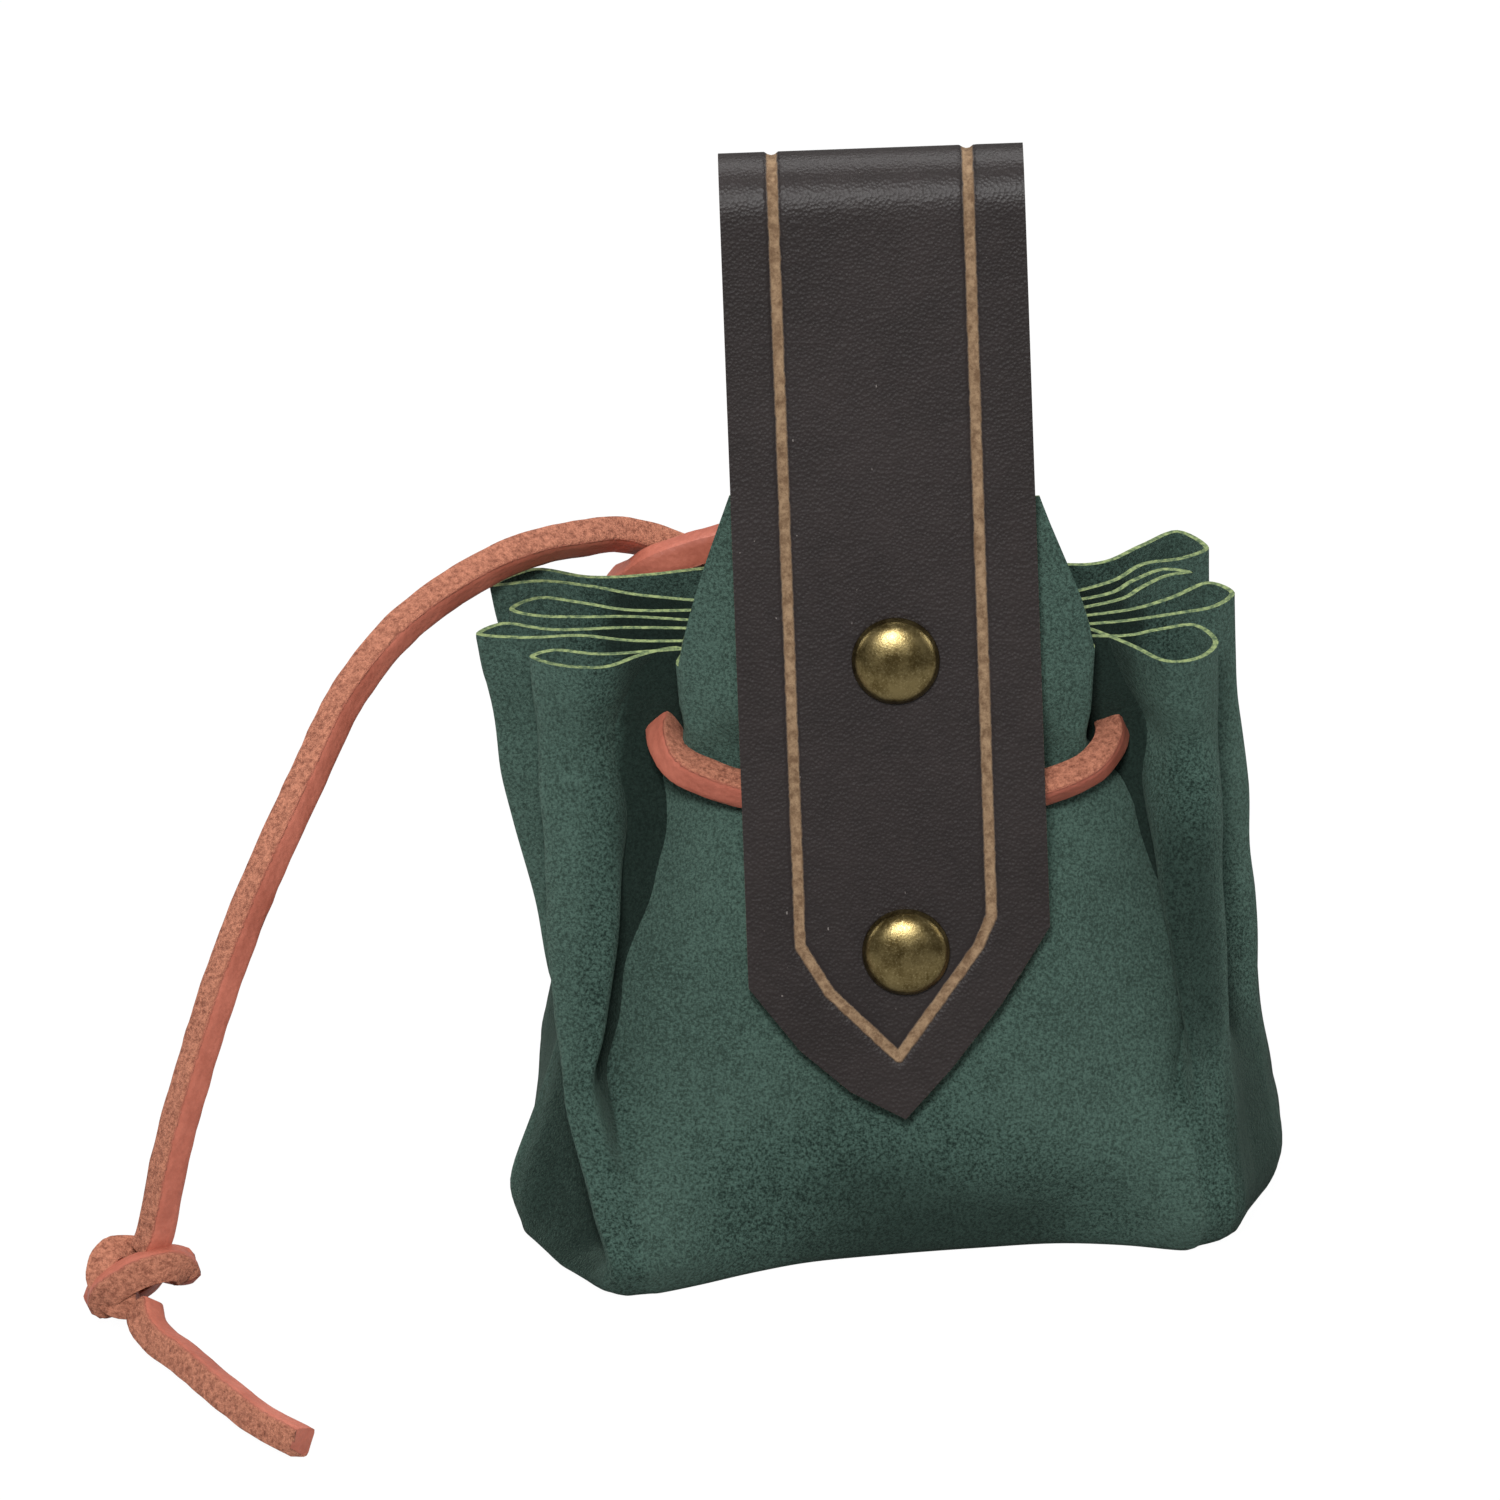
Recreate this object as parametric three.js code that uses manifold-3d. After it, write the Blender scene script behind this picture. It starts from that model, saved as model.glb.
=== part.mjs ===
// A drawstring dice bag: a suede pouch gathered by a square leather lace, riveted
// to a leather strap that folds over into a belt loop.
// Millimetres, +Z up. The origin is the middle of the base and the front faces -Y.
// Bodies that move: the front (front panel, strap legs, rivets, front lace) tilts
// about the foot of the front panel, the loop flexes on the strap above the tongue,
// and the lace's free end draws out sideways.

import * as THREE from 'three';
import { mergeVertices } from 'three/addons/utils/BufferGeometryUtils.js';
import Module from 'manifold-3d';

const wasm = await Module();
wasm.setup();

// Driving dimensions
const GAP = 0.3;                    // clearance between pieces that touch
const STRAP_LEAN = THREE.MathUtils.degToRad(19);   // the strap leans back
const STRAP_ROLL = THREE.MathUtils.degToRad(2.1);  // and a little to the left
const STRAP_LEFT = -18.2;           // strap edges, from the rivet line
const STRAP_RIGHT = 16.6;
const STRAP_THICK = 2.2;
const STRAP_BACK_END = -9;          // the inner leg ends below the lower rivet
const TONGUE_TOP = 52.3;            // top of the suede tongue, up the strap
const LOOP_START = 54.4;            // the loop begins above the tongue
const LEG_TOP = 53.4;
const LOOP_BEND_Y = 87.5;           // centre of the top bend, up the strap
const LOOP_BEND_R = 5.1;            // to the middle of the leather
const RIVET_SPACING = 34;
const RIVET_CAP_R = 5;
const RIVET_HEAD_R = 4.2;
const RIVET_SHAFT_R = 1.5;
const SUEDE_THICK = 1.3;
const LACE_R = 1.8;                 // half the lace's width
const LACE_UP = 16.8;               // where the lace passes under the strap
const LACE_DENT = 4.5;              // how far the lace presses the suede in
const LACE_DENT_REACH = 12;
const LOWER_RIVET = [2.9, -22.8, 37.7];
const WINDOW_GAP = 0.6;             // clearance beside the tilting front panel
const RING_POINTS = 56;
const LACE_SIDES = 8;
const KNOT_SIZE = [6, 5.2, 4.5];

// The pouch's outline at each height: left, right, front, back, squareness
const POUCH_OUTER = [
  { z: 0, left: -38, right: 40, front: -31, back: 32, power: 3.2 },
  { z: 2, left: -43, right: 44, front: -33.8, back: 34.2, power: 3 },
  { z: 7, left: -44.5, right: 46.6, front: -34.2, back: 34.2, power: 2.8 },
  { z: 14, left: -42.5, right: 46.2, front: -32, back: 33, power: 2.6 },
  { z: 28, left: -41, right: 43.5, front: -25.5, back: 29, power: 2.6 },
  { z: 42, left: -43, right: 42.3, front: -19, back: 23.5, power: 3 },
  { z: 54, left: -45, right: 41.5, front: -13.5, back: 18, power: 3.6 },
  { z: 67, left: -46.6, right: 41, front: -9, back: 16.4, power: 4 },
];
const POUCH_INNER = [
  { z: 1.6, left: -38, right: 40, front: -30.5, back: 31.5, power: 3 },
  { z: 8, left: -42.8, right: 44.9, front: -32.6, back: 32.6, power: 2.8 },
  { z: 14, left: -40.9, right: 44.6, front: -30.4, back: 31.4, power: 2.6 },
  { z: 28, left: -39.3, right: 41.8, front: -23.9, back: 27.4, power: 2.6 },
  { z: 42, left: -34.5, right: 35.5, front: -19.5, back: 20.5, power: 3 },
  { z: 54, left: -27.6, right: 29.2, front: -15, back: 14.2, power: 4 },
  { z: 72, left: -26.2, right: 27.8, front: -14, back: 14.2, power: 4 },
];

// The front panel and its tongue: edges (x) and how far they curl back, up the strap
const PANEL = [
  { up: -34.2, left: -32.6, right: 33, sink: 4.2, curl: 3.5 },
  { up: -27, left: -33.2, right: 33.6, sink: 2.2, curl: 4.5 },
  { up: -18, left: -33.2, right: 33.6, sink: 0, curl: 5.5 },
  { up: -4, left: -32, right: 32, sink: 0, curl: 6.5 },
  { up: 8, left: -28.5, right: 28.5, sink: 0, curl: 6 },
  { up: 13, left: -21.2, right: 23, sink: 0, curl: 3 },
  { up: LACE_UP, left: -21, right: 22.8, sink: 0, curl: 2.6 },
  { up: 21.5, left: -21.2, right: 23, sink: 0, curl: 3 },
  { up: 29, left: -23.4, right: 24.6, sink: 0, curl: 5 },
  { up: 36, left: -22, right: 23.3, sink: 0, curl: 3.5 },
  { up: TONGUE_TOP, left: -18.2, right: 18.4, sink: 0, curl: 0 },
];

// The lace's centre line, front to back on each side and out to its two ends
const LACE_LEFT = [[-24.8, -2, 56.5], [-25, -0.2, 56.6], [-28.2, 3.2, 56.9], [-30.4, 8, 57.3], [-30.6, 15, 57.6],
  [-30.6, 18.4, 57.7]];
const LACE_RIGHT = [[26.6, -2, 56.5], [26.8, -0.2, 56.6], [29.4, 3.2, 56.9], [31.4, 8, 57.3], [31.6, 15, 57.6],
  [31.6, 18.2, 57.8]];
const LACE_BACK = [[31.6, 18.8, 57.8], [31.2, 20.6, 58], [27.6, 23.2, 58.7], [20, 23.4, 59.6], [8, 22.8, 60.3], [-6, 23.6, 60.4],
  [-15.7, 24.3, 61.8]];
const LACE_ARC = [[-16.3, 24.4, 62], [-22, 24.2, 63.6], [-26.2, 24.1, 65.3], [-30, 22.5, 67.1],
  [-34, 19.1, 68.6], [-40, 14.4, 69.8], [-46, 10, 69.3], [-54.5, 3, 66.4], [-61, -5, 61.8],
  [-65.9, -13, 54.6], [-71.1, -21, 45.9], [-75.1, -27, 37.4], [-78.6, -33, 28.2], [-81.4, -37.7, 19],
  [-83.2, -40.4, 10.6]];
const KNOT_PLACE = [-85.2, -41.6, 4.9];
const LACE_TAIL = [[-84, -47.4, 2.6], [-82.6, -50, 2.1], [-80.4, -53.6, 1.95], [-75.9, -61.3, 1.95],
  [-71.5, -67.6, 1.95], [-67, -72.2, 1.95]];
const LACE_HIDDEN = [[-30.6, 19.2, 57.8], [-30.6, 21.2, 58.6], [-30, 21.6, 61], [-28.4, 19.8, 63.2],
  [-26, 18.8, 65.5], [-22, 19.2, 66.9], [-17.5, 20.2, 67.7], [-11, 22, 68.6], [-4, 24.4, 68.2],
  [2.5, 27.4, 65.4], [7.5, 29.8, 60], [11, 31.2, 50], [13.4, 33.8, 38], [15, 37, 26], [16.2, 39.8, 14],
  [18, 43, 5.8], [21.5, 47, 2.4], [26, 52, 1.95], [28.6, 59, 1.95], [25.4, 65.6, 1.95], [17.6, 68.4, 1.95],
  [9, 66.8, 1.95], [0.6, 62.8, 1.95], [-6.4, 59.4, 3.2]];
const HIDDEN_KNOT_PLACE = [-12.6, 56.6, 4.9];
const HIDDEN_TAIL = [[-18.8, 54, 2.4], [-24, 52.2, 1.95], [-31, 50.2, 1.95], [-38.6, 49.4, 1.95]];

const leather = new THREE.MeshStandardMaterial({ color: 0x332c2b, roughness: 0.55, metalness: 0 });
const suede = new THREE.MeshStandardMaterial({ color: 0x2c443a, roughness: 0.95, metalness: 0 });
const laceHide = new THREE.MeshStandardMaterial({ color: 0xa5624d, roughness: 0.6, metalness: 0 });
const brass = new THREE.MeshStandardMaterial({ color: 0x7d6f4a, roughness: 0.35, metalness: 0.9 });

const bag = new THREE.Group();

// The front of the bag in the strap's own plane: x across, y up the strap, z outwards
const upright = new THREE.Group();
upright.position.set(...LOWER_RIVET);
upright.rotation.set(Math.PI / 2 - STRAP_LEAN, 0, 0);
const strapPlane = new THREE.Group();
strapPlane.rotation.z = STRAP_ROLL;
upright.add(strapPlane);
bag.add(upright);
bag.updateMatrixWorld(true);

function addPiece(parent, name, geometry, material) {
  const mesh = new THREE.Mesh(geometry, material);
  mesh.name = name;
  parent.add(mesh);
}

// Booleans

function solidOf(geometry) {
  const bare = geometry.clone();
  bare.deleteAttribute('normal');
  bare.deleteAttribute('uv');
  const merged = mergeVertices(bare, 1e-5);
  return new wasm.Manifold(new wasm.Mesh({
    numProp: 3,
    vertProperties: new Float32Array(merged.attributes.position.array),
    triVerts: new Uint32Array(merged.index.array),
  }));
}

function geometryOf(solid) {
  const mesh = solid.getMesh();
  const geometry = new THREE.BufferGeometry();
  geometry.setAttribute('position', new THREE.BufferAttribute(mesh.vertProperties, 3));
  geometry.setIndex(new THREE.BufferAttribute(mesh.triVerts, 1));
  return geometry;
}

function cut(geometry, ...tools) {
  return geometryOf(tools.reduce((solid, tool) => solid.subtract(solidOf(tool)), solidOf(geometry)));
}

// Shapes

// A closed solid through rings of points, each ring anticlockwise seen from above
function loft(rings) {
  const count = rings[0].length;
  const points = rings.flat();
  const faces = [];
  for (let level = 0; level < rings.length - 1; level += 1) {
    for (let i = 0; i < count; i += 1) {
      const a = level * count + i;
      const b = level * count + ((i + 1) % count);
      faces.push(a, b, b + count, a, b + count, a + count);
    }
  }
  const last = (rings.length - 1) * count;
  for (let i = 1; i < count - 1; i += 1) {
    faces.push(0, i + 1, i, last, last + i, last + i + 1);
  }
  const geometry = new THREE.BufferGeometry();
  geometry.setAttribute('position', new THREE.Float32BufferAttribute(points.flat(), 3));
  geometry.setIndex(faces);
  return geometry;
}

function ovalRing({ z, left, right, front, back, power }) {
  const ring = [];
  for (let i = 0; i < RING_POINTS; i += 1) {
    const angle = (i / RING_POINTS) * Math.PI * 2;
    const c = Math.cos(angle);
    const s = Math.sin(angle);
    ring.push([
      (c < 0 ? -left : right) * Math.sign(c) * Math.abs(c) ** (2 / power),
      (s < 0 ? -front : back) * Math.sign(s) * Math.abs(s) ** (2 / power),
      z,
    ]);
  }
  return ring;
}

// How far the lace presses the layers under the strap inwards
function dent(up) {
  const away = Math.abs(up - LACE_UP) / LACE_DENT_REACH;
  return away < 1 ? LACE_DENT * 0.5 * (1 + Math.cos(Math.PI * away)) : 0;
}

// The panel's rows, each between its edges, from its foot to the top of the tongue
function panelRows() {
  const rows = [];
  const steps = 3;
  for (let i = 0; i < PANEL.length - 1; i += 1) {
    for (let k = 0; k < steps; k += 1) {
      rows.push(between(PANEL[i], PANEL[i + 1], k / steps));
    }
  }
  rows.push(PANEL.at(-1));
  return rows;
}

function between(a, b, share) {
  const mix = (key) => a[key] + (b[key] - a[key]) * share;
  return { up: mix('up'), left: mix('left'), right: mix('right'), sink: mix('sink'), curl: mix('curl') };
}

function panelDepth(row, x) {
  const flat = (STRAP_RIGHT - STRAP_LEFT) / 2 + GAP;
  const middle = LOWER_RIVET[0] + (STRAP_RIGHT + STRAP_LEFT) / 2 - row.up * Math.sin(STRAP_ROLL);
  const reach = x < middle ? middle - row.left : row.right - middle;
  const beyond = Math.max(0, (Math.abs(x - middle) - flat) / (reach - flat));
  return -STRAP_THICK - GAP - row.sink - dent(row.up) - row.curl * beyond ** 1.6;
}

// A row of the panel as a ring: along its outer face, then back along its inner face
function panelRing(row) {
  const columns = 24;
  const outer = [];
  const inner = [];
  for (let i = 0; i <= columns; i += 1) {
    const x = row.left + (row.right - row.left) * (i / columns);
    const depth = panelDepth(row, x);
    outer.push([x - LOWER_RIVET[0], row.up, depth]);
    inner.unshift([x - LOWER_RIVET[0], row.up, depth - SUEDE_THICK]);
  }
  return [...outer, ...inner];
}

// The window in the pouch that the front panel tilts through
function windowSolid() {
  const rings = PANEL.filter((row) => row.up < 10 || row.up >= 29).map((row) => {
    const left = row.left - LOWER_RIVET[0] - WINDOW_GAP;
    const right = row.right - LOWER_RIVET[0] + WINDOW_GAP;
    const up = row.up - (row.up < -30 ? GAP + 0.2 : 0);
    return [[left, up, 60], [right, up, 60], [right, up, -15], [left, up, -15]];
  });
  return loft(rings).applyMatrix4(upright.matrixWorld);
}

function lacePath(points) {
  return new THREE.CatmullRomCurve3(points.map((p) => new THREE.Vector3(...p)), false, 'centripetal');
}

function tube(points, radius = LACE_R) {
  const path = lacePath(points);
  const section = new THREE.Shape();
  for (let i = 0; i < LACE_SIDES; i += 1) {
    const angle = ((i + 0.5) / LACE_SIDES) * Math.PI * 2;
    const draw = i ? 'lineTo' : 'moveTo';
    section[draw](radius * Math.cos(angle), radius * Math.sin(angle));
  }
  section.closePath();
  const steps = Math.max(4, Math.round(path.getLength() / (LACE_R * 4.4)));
  return new THREE.ExtrudeGeometry(section, { steps, extrudePath: path, bevelEnabled: false });
}

// Leather of the strap's thickness along a line of [depth inwards, up] points
function strapAlong(line) {
  const side = (sign) => line.map(([depth, up], i) => {
    const [fromDepth, fromUp] = line[Math.max(0, i - 1)];
    const [toDepth, toUp] = line[Math.min(line.length - 1, i + 1)];
    const length = Math.hypot(toDepth - fromDepth, toUp - fromUp);
    const shift = (sign * STRAP_THICK) / 2 / length;
    return new THREE.Vector2(depth - (toUp - fromUp) * shift, up + (toDepth - fromDepth) * shift);
  });
  const outline = new THREE.Shape([...side(1), ...side(-1).reverse()]);
  const geometry = new THREE.ExtrudeGeometry(outline, { depth: STRAP_RIGHT - STRAP_LEFT, bevelEnabled: false });
  return geometry.rotateY(Math.PI / 2).translate(STRAP_LEFT, 0, 0);
}

function alongNormal(profile) {
  const points = profile.map(([radius, out]) => new THREE.Vector2(radius, out));
  return new THREE.LatheGeometry(points, 32).rotateX(Math.PI / 2);
}

// The pouch

function pouchBody() {
  const shell = solidOf(loft(POUCH_OUTER.map(ovalRing))).subtract(solidOf(loft(POUCH_INNER.map(ovalRing))));
  const channel = LACE_R + GAP + 0.1;
  const cuts = [windowSolid(), tube(LACE_LEFT, channel), tube(LACE_RIGHT, channel)];
  return geometryOf(cuts.reduce((solid, tool) => solid.subtract(solidOf(tool)), shell));
}

function rivetHole(up) {
  return new THREE.CylinderGeometry(RIVET_SHAFT_R + GAP, RIVET_SHAFT_R + GAP, 30, 24)
    .rotateX(Math.PI / 2).applyMatrix4(new THREE.Matrix4().makeRotationZ(STRAP_ROLL)
      .multiply(new THREE.Matrix4().makeTranslation(0, up, 0)));
}

function frontPanel() {
  return cut(loft(panelRows().map(panelRing)), rivetHole(0), rivetHole(RIVET_SPACING));
}

// The strap

function strapFrontLeg() {
  const outline = new THREE.Shape();
  outline.moveTo(STRAP_LEFT, LEG_TOP);
  outline.lineTo(STRAP_LEFT, -3.7);
  outline.quadraticCurveTo(-12.6, -13, -0.7, -19.7);
  outline.lineTo(STRAP_RIGHT, 2.3);
  outline.lineTo(STRAP_RIGHT, LEG_TOP);
  outline.closePath();
  for (const up of [0, RIVET_SPACING]) {
    const hole = new THREE.Path();
    hole.absarc(0, up, RIVET_SHAFT_R + GAP, 0, Math.PI * 2, true);
    outline.holes.push(hole);
  }
  return new THREE.ExtrudeGeometry(outline, { depth: STRAP_THICK, bevelEnabled: false, curveSegments: 12 })
    .translate(0, 0, -STRAP_THICK);
}

const INNER_LEG_DEPTH = STRAP_THICK * 1.5 + SUEDE_THICK + GAP * 4;

function strapBackLeg() {
  const line = [];
  const steps = 26;
  for (let i = 0; i <= steps; i += 1) {
    const up = STRAP_BACK_END + (LEG_TOP - STRAP_BACK_END) * (i / steps);
    line.push([INNER_LEG_DEPTH + dent(up), up]);
  }
  const hole = (up) => new THREE.CylinderGeometry(RIVET_SHAFT_R + GAP, RIVET_SHAFT_R + GAP, 30, 24)
    .rotateX(Math.PI / 2).translate(0, up, 0);
  return cut(strapAlong(line), hole(0), hole(RIVET_SPACING));
}

function strapLoop() {
  const line = [[STRAP_THICK / 2, LOOP_START], [STRAP_THICK / 2, LOOP_BEND_Y - 4]];
  const bendSteps = 10;
  for (let i = 0; i <= bendSteps; i += 1) {
    const angle = Math.PI * (1 - i / bendSteps);
    line.push([
      STRAP_THICK / 2 + LOOP_BEND_R + LOOP_BEND_R * Math.cos(angle),
      LOOP_BEND_Y + LOOP_BEND_R * Math.sin(angle),
    ]);
  }
  const backLeg = new THREE.CubicBezierCurve(
    new THREE.Vector2(STRAP_THICK / 2 + LOOP_BEND_R * 2, LOOP_BEND_Y),
    new THREE.Vector2(STRAP_THICK / 2 + LOOP_BEND_R * 2, LOOP_BEND_Y - 14),
    new THREE.Vector2(INNER_LEG_DEPTH, LOOP_START + 12),
    new THREE.Vector2(INNER_LEG_DEPTH, LOOP_START),
  );
  line.push(...backLeg.getPoints(10).slice(1).map((p) => [p.x, p.y]));
  return strapAlong(line);
}

// The rivets: a domed cap in front, and a post with a flat head behind

function rivetCap() {
  const dome = 2.1;
  const profile = [[0, GAP], [RIVET_CAP_R, GAP], [RIVET_CAP_R, GAP + 0.5]];
  const steps = 6;
  for (let i = 1; i < steps; i += 1) {
    const angle = (i / steps) * (Math.PI / 2);
    profile.push([RIVET_CAP_R * Math.cos(angle), GAP + 0.5 + dome * Math.sin(angle)]);
  }
  profile.push([0, GAP + 0.5 + dome]);
  return alongNormal(profile);
}

function rivetPost() {
  const behind = -(INNER_LEG_DEPTH + STRAP_THICK / 2 + GAP);
  return alongNormal([
    [0, behind - 1.2], [RIVET_HEAD_R - 0.6, behind - 1.2], [RIVET_HEAD_R, behind - 0.6],
    [RIVET_HEAD_R, behind], [RIVET_SHAFT_R, behind], [RIVET_SHAFT_R, 0], [0, 0],
  ]);
}

// The lace

// Across the front panel, under the strap, with an end beside each gathered side
function laceFrontSpan() {
  const places = [-19.5, -17, -14, -9, 0, 10, 17.5, 21];
  const points = places.map((x) => {
    const strayed = Math.max(0, Math.abs(x - LOWER_RIVET[0] + 1) - 17);
    const up = LACE_UP - 0.3 + strayed * 0.22;
    const row = PANEL.find((one) => one.up === LACE_UP);
    const depth = panelDepth(row, x) + LACE_R + GAP + strayed * 0.16;
    return new THREE.Vector3(x - LOWER_RIVET[0], up, depth).applyMatrix4(upright.matrixWorld).toArray();
  });
  const left = [[-24.8, -2.9, 56.5], [-24.7, -6.3, 56.2], [-23.1, -10.1, 55.2]];
  const right = [[24.6, -10.1, 55.2], [26.5, -6.3, 56.2], [26.6, -2.9, 56.5]];
  return tube([...left, ...points, ...right]);
}

function knot(place) {
  return new THREE.SphereGeometry(1, 16, 10).rotateX(Math.PI / 2).scale(...KNOT_SIZE).translate(...place);
}

addPiece(bag, 'suede_body', pouchBody(), suede);
addPiece(upright, 'suede_front', frontPanel(), suede);
addPiece(strapPlane, 'strap_front_leg', strapFrontLeg(), leather);
addPiece(strapPlane, 'strap_back_leg', strapBackLeg(), leather);
addPiece(strapPlane, 'strap_belt_loop', strapLoop(), leather);
for (const [name, up] of [['lower', 0], ['upper', RIVET_SPACING]]) {
  addPiece(strapPlane, `rivet_${name}_cap`, rivetCap().translate(0, up, 0), brass);
  addPiece(strapPlane, `rivet_${name}_post`, rivetPost().translate(0, up, 0), brass);
}
addPiece(bag, 'lace_front_span', laceFrontSpan(), laceHide);
addPiece(bag, 'lace_left_run', tube(LACE_LEFT), laceHide);
addPiece(bag, 'lace_right_run', tube(LACE_RIGHT), laceHide);
addPiece(bag, 'lace_back_run', tube(LACE_BACK), laceHide);
addPiece(bag, 'lace_free_end', tube(LACE_ARC), laceHide);
addPiece(bag, 'lace_free_knot', knot(KNOT_PLACE), laceHide);
addPiece(bag, 'lace_free_tail', tube(LACE_TAIL), laceHide);
addPiece(bag, 'lace_hidden_end', tube(LACE_HIDDEN), laceHide);
addPiece(bag, 'lace_hidden_knot', knot(HIDDEN_KNOT_PLACE), laceHide);
addPiece(bag, 'lace_hidden_tail', tube(HIDDEN_TAIL), laceHide);

export default bag;
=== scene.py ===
"""A drawstring dice bag: a gathered suede pouch, a square leather lace and a riveted belt strap.

The classes below build the bag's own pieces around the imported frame, in metres. Sizes inside
the classes are in millimetres, and each mesh is written in metres as it is finished.
"""

import logging
import math
from dataclasses import dataclass, field
from enum import Enum
from typing import Callable, Optional, Sequence, Union

import bmesh
import bpy
import numpy as np
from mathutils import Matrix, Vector, noise


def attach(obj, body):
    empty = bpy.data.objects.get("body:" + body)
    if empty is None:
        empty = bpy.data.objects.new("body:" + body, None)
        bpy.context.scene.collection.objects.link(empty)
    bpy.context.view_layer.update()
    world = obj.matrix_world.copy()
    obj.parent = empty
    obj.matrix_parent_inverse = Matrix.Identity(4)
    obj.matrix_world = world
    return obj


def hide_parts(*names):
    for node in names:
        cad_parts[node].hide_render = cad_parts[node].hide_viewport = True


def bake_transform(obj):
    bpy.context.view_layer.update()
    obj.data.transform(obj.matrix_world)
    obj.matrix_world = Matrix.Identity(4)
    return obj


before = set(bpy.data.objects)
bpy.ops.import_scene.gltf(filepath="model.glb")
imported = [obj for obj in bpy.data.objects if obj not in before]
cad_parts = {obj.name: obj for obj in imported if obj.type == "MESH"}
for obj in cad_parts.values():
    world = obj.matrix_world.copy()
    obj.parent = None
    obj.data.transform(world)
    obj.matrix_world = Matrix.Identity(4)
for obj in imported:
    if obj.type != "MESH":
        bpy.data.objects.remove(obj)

LOG = logging.getLogger("dice_bag")
MM = 0.001
Point = tuple[float, float, float]


# ---------------------------------------------------------------- shader building


class Socket:
    """A shader value that builds Math nodes when it is used in an expression."""

    def __init__(self, shader: "Shader", socket: bpy.types.NodeSocket) -> None:
        """Wrap a socket of a shader's tree."""
        self.shader = shader
        self.socket = socket

    def _math(self, operation: str, *values: "Value") -> "Socket":
        """One Math node.

        Args:
            operation: The node's operation.
            values: Its inputs in order.

        Returns:
            The node's result.
        """
        return self.shader.node("ShaderNodeMath", {"operation": operation}, dict(enumerate(values)))

    def __add__(self, other: "Value") -> "Socket":
        """Sum."""
        return self._math("ADD", self, other)

    def __radd__(self, other: "Value") -> "Socket":
        """Sum, reflected."""
        return self._math("ADD", other, self)

    def __sub__(self, other: "Value") -> "Socket":
        """Difference."""
        return self._math("SUBTRACT", self, other)

    def __rsub__(self, other: "Value") -> "Socket":
        """Difference, reflected."""
        return self._math("SUBTRACT", other, self)

    def __mul__(self, other: "Value") -> "Socket":
        """Product."""
        return self._math("MULTIPLY", self, other)

    def __rmul__(self, other: "Value") -> "Socket":
        """Product, reflected."""
        return self._math("MULTIPLY", other, self)

    def __truediv__(self, other: "Value") -> "Socket":
        """Quotient."""
        return self._math("DIVIDE", self, other)

    def __abs__(self) -> "Socket":
        """Absolute value."""
        return self._math("ABSOLUTE", self)

    def least(self, other: "Value") -> "Socket":
        """The smaller of two values."""
        return self._math("MINIMUM", self, other)

    def most(self, other: "Value") -> "Socket":
        """The larger of two values."""
        return self._math("MAXIMUM", self, other)

    def root(self) -> "Socket":
        """Square root."""
        return self._math("SQRT", self)

    def step(self, low: float, high: float) -> "Socket":
        """A smooth step from 0 at low to 1 at high.

        Args:
            low: The value where the step starts.
            high: The value where it ends.

        Returns:
            The step's value.
        """
        return self.shader.node(
            "ShaderNodeMapRange",
            {"interpolation_type": "SMOOTHSTEP"},
            {0: self, 1: low, 2: high, 3: 0.0, 4: 1.0},
        )


Value = Union[Socket, float]
Colour = tuple[float, float, float]


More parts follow.
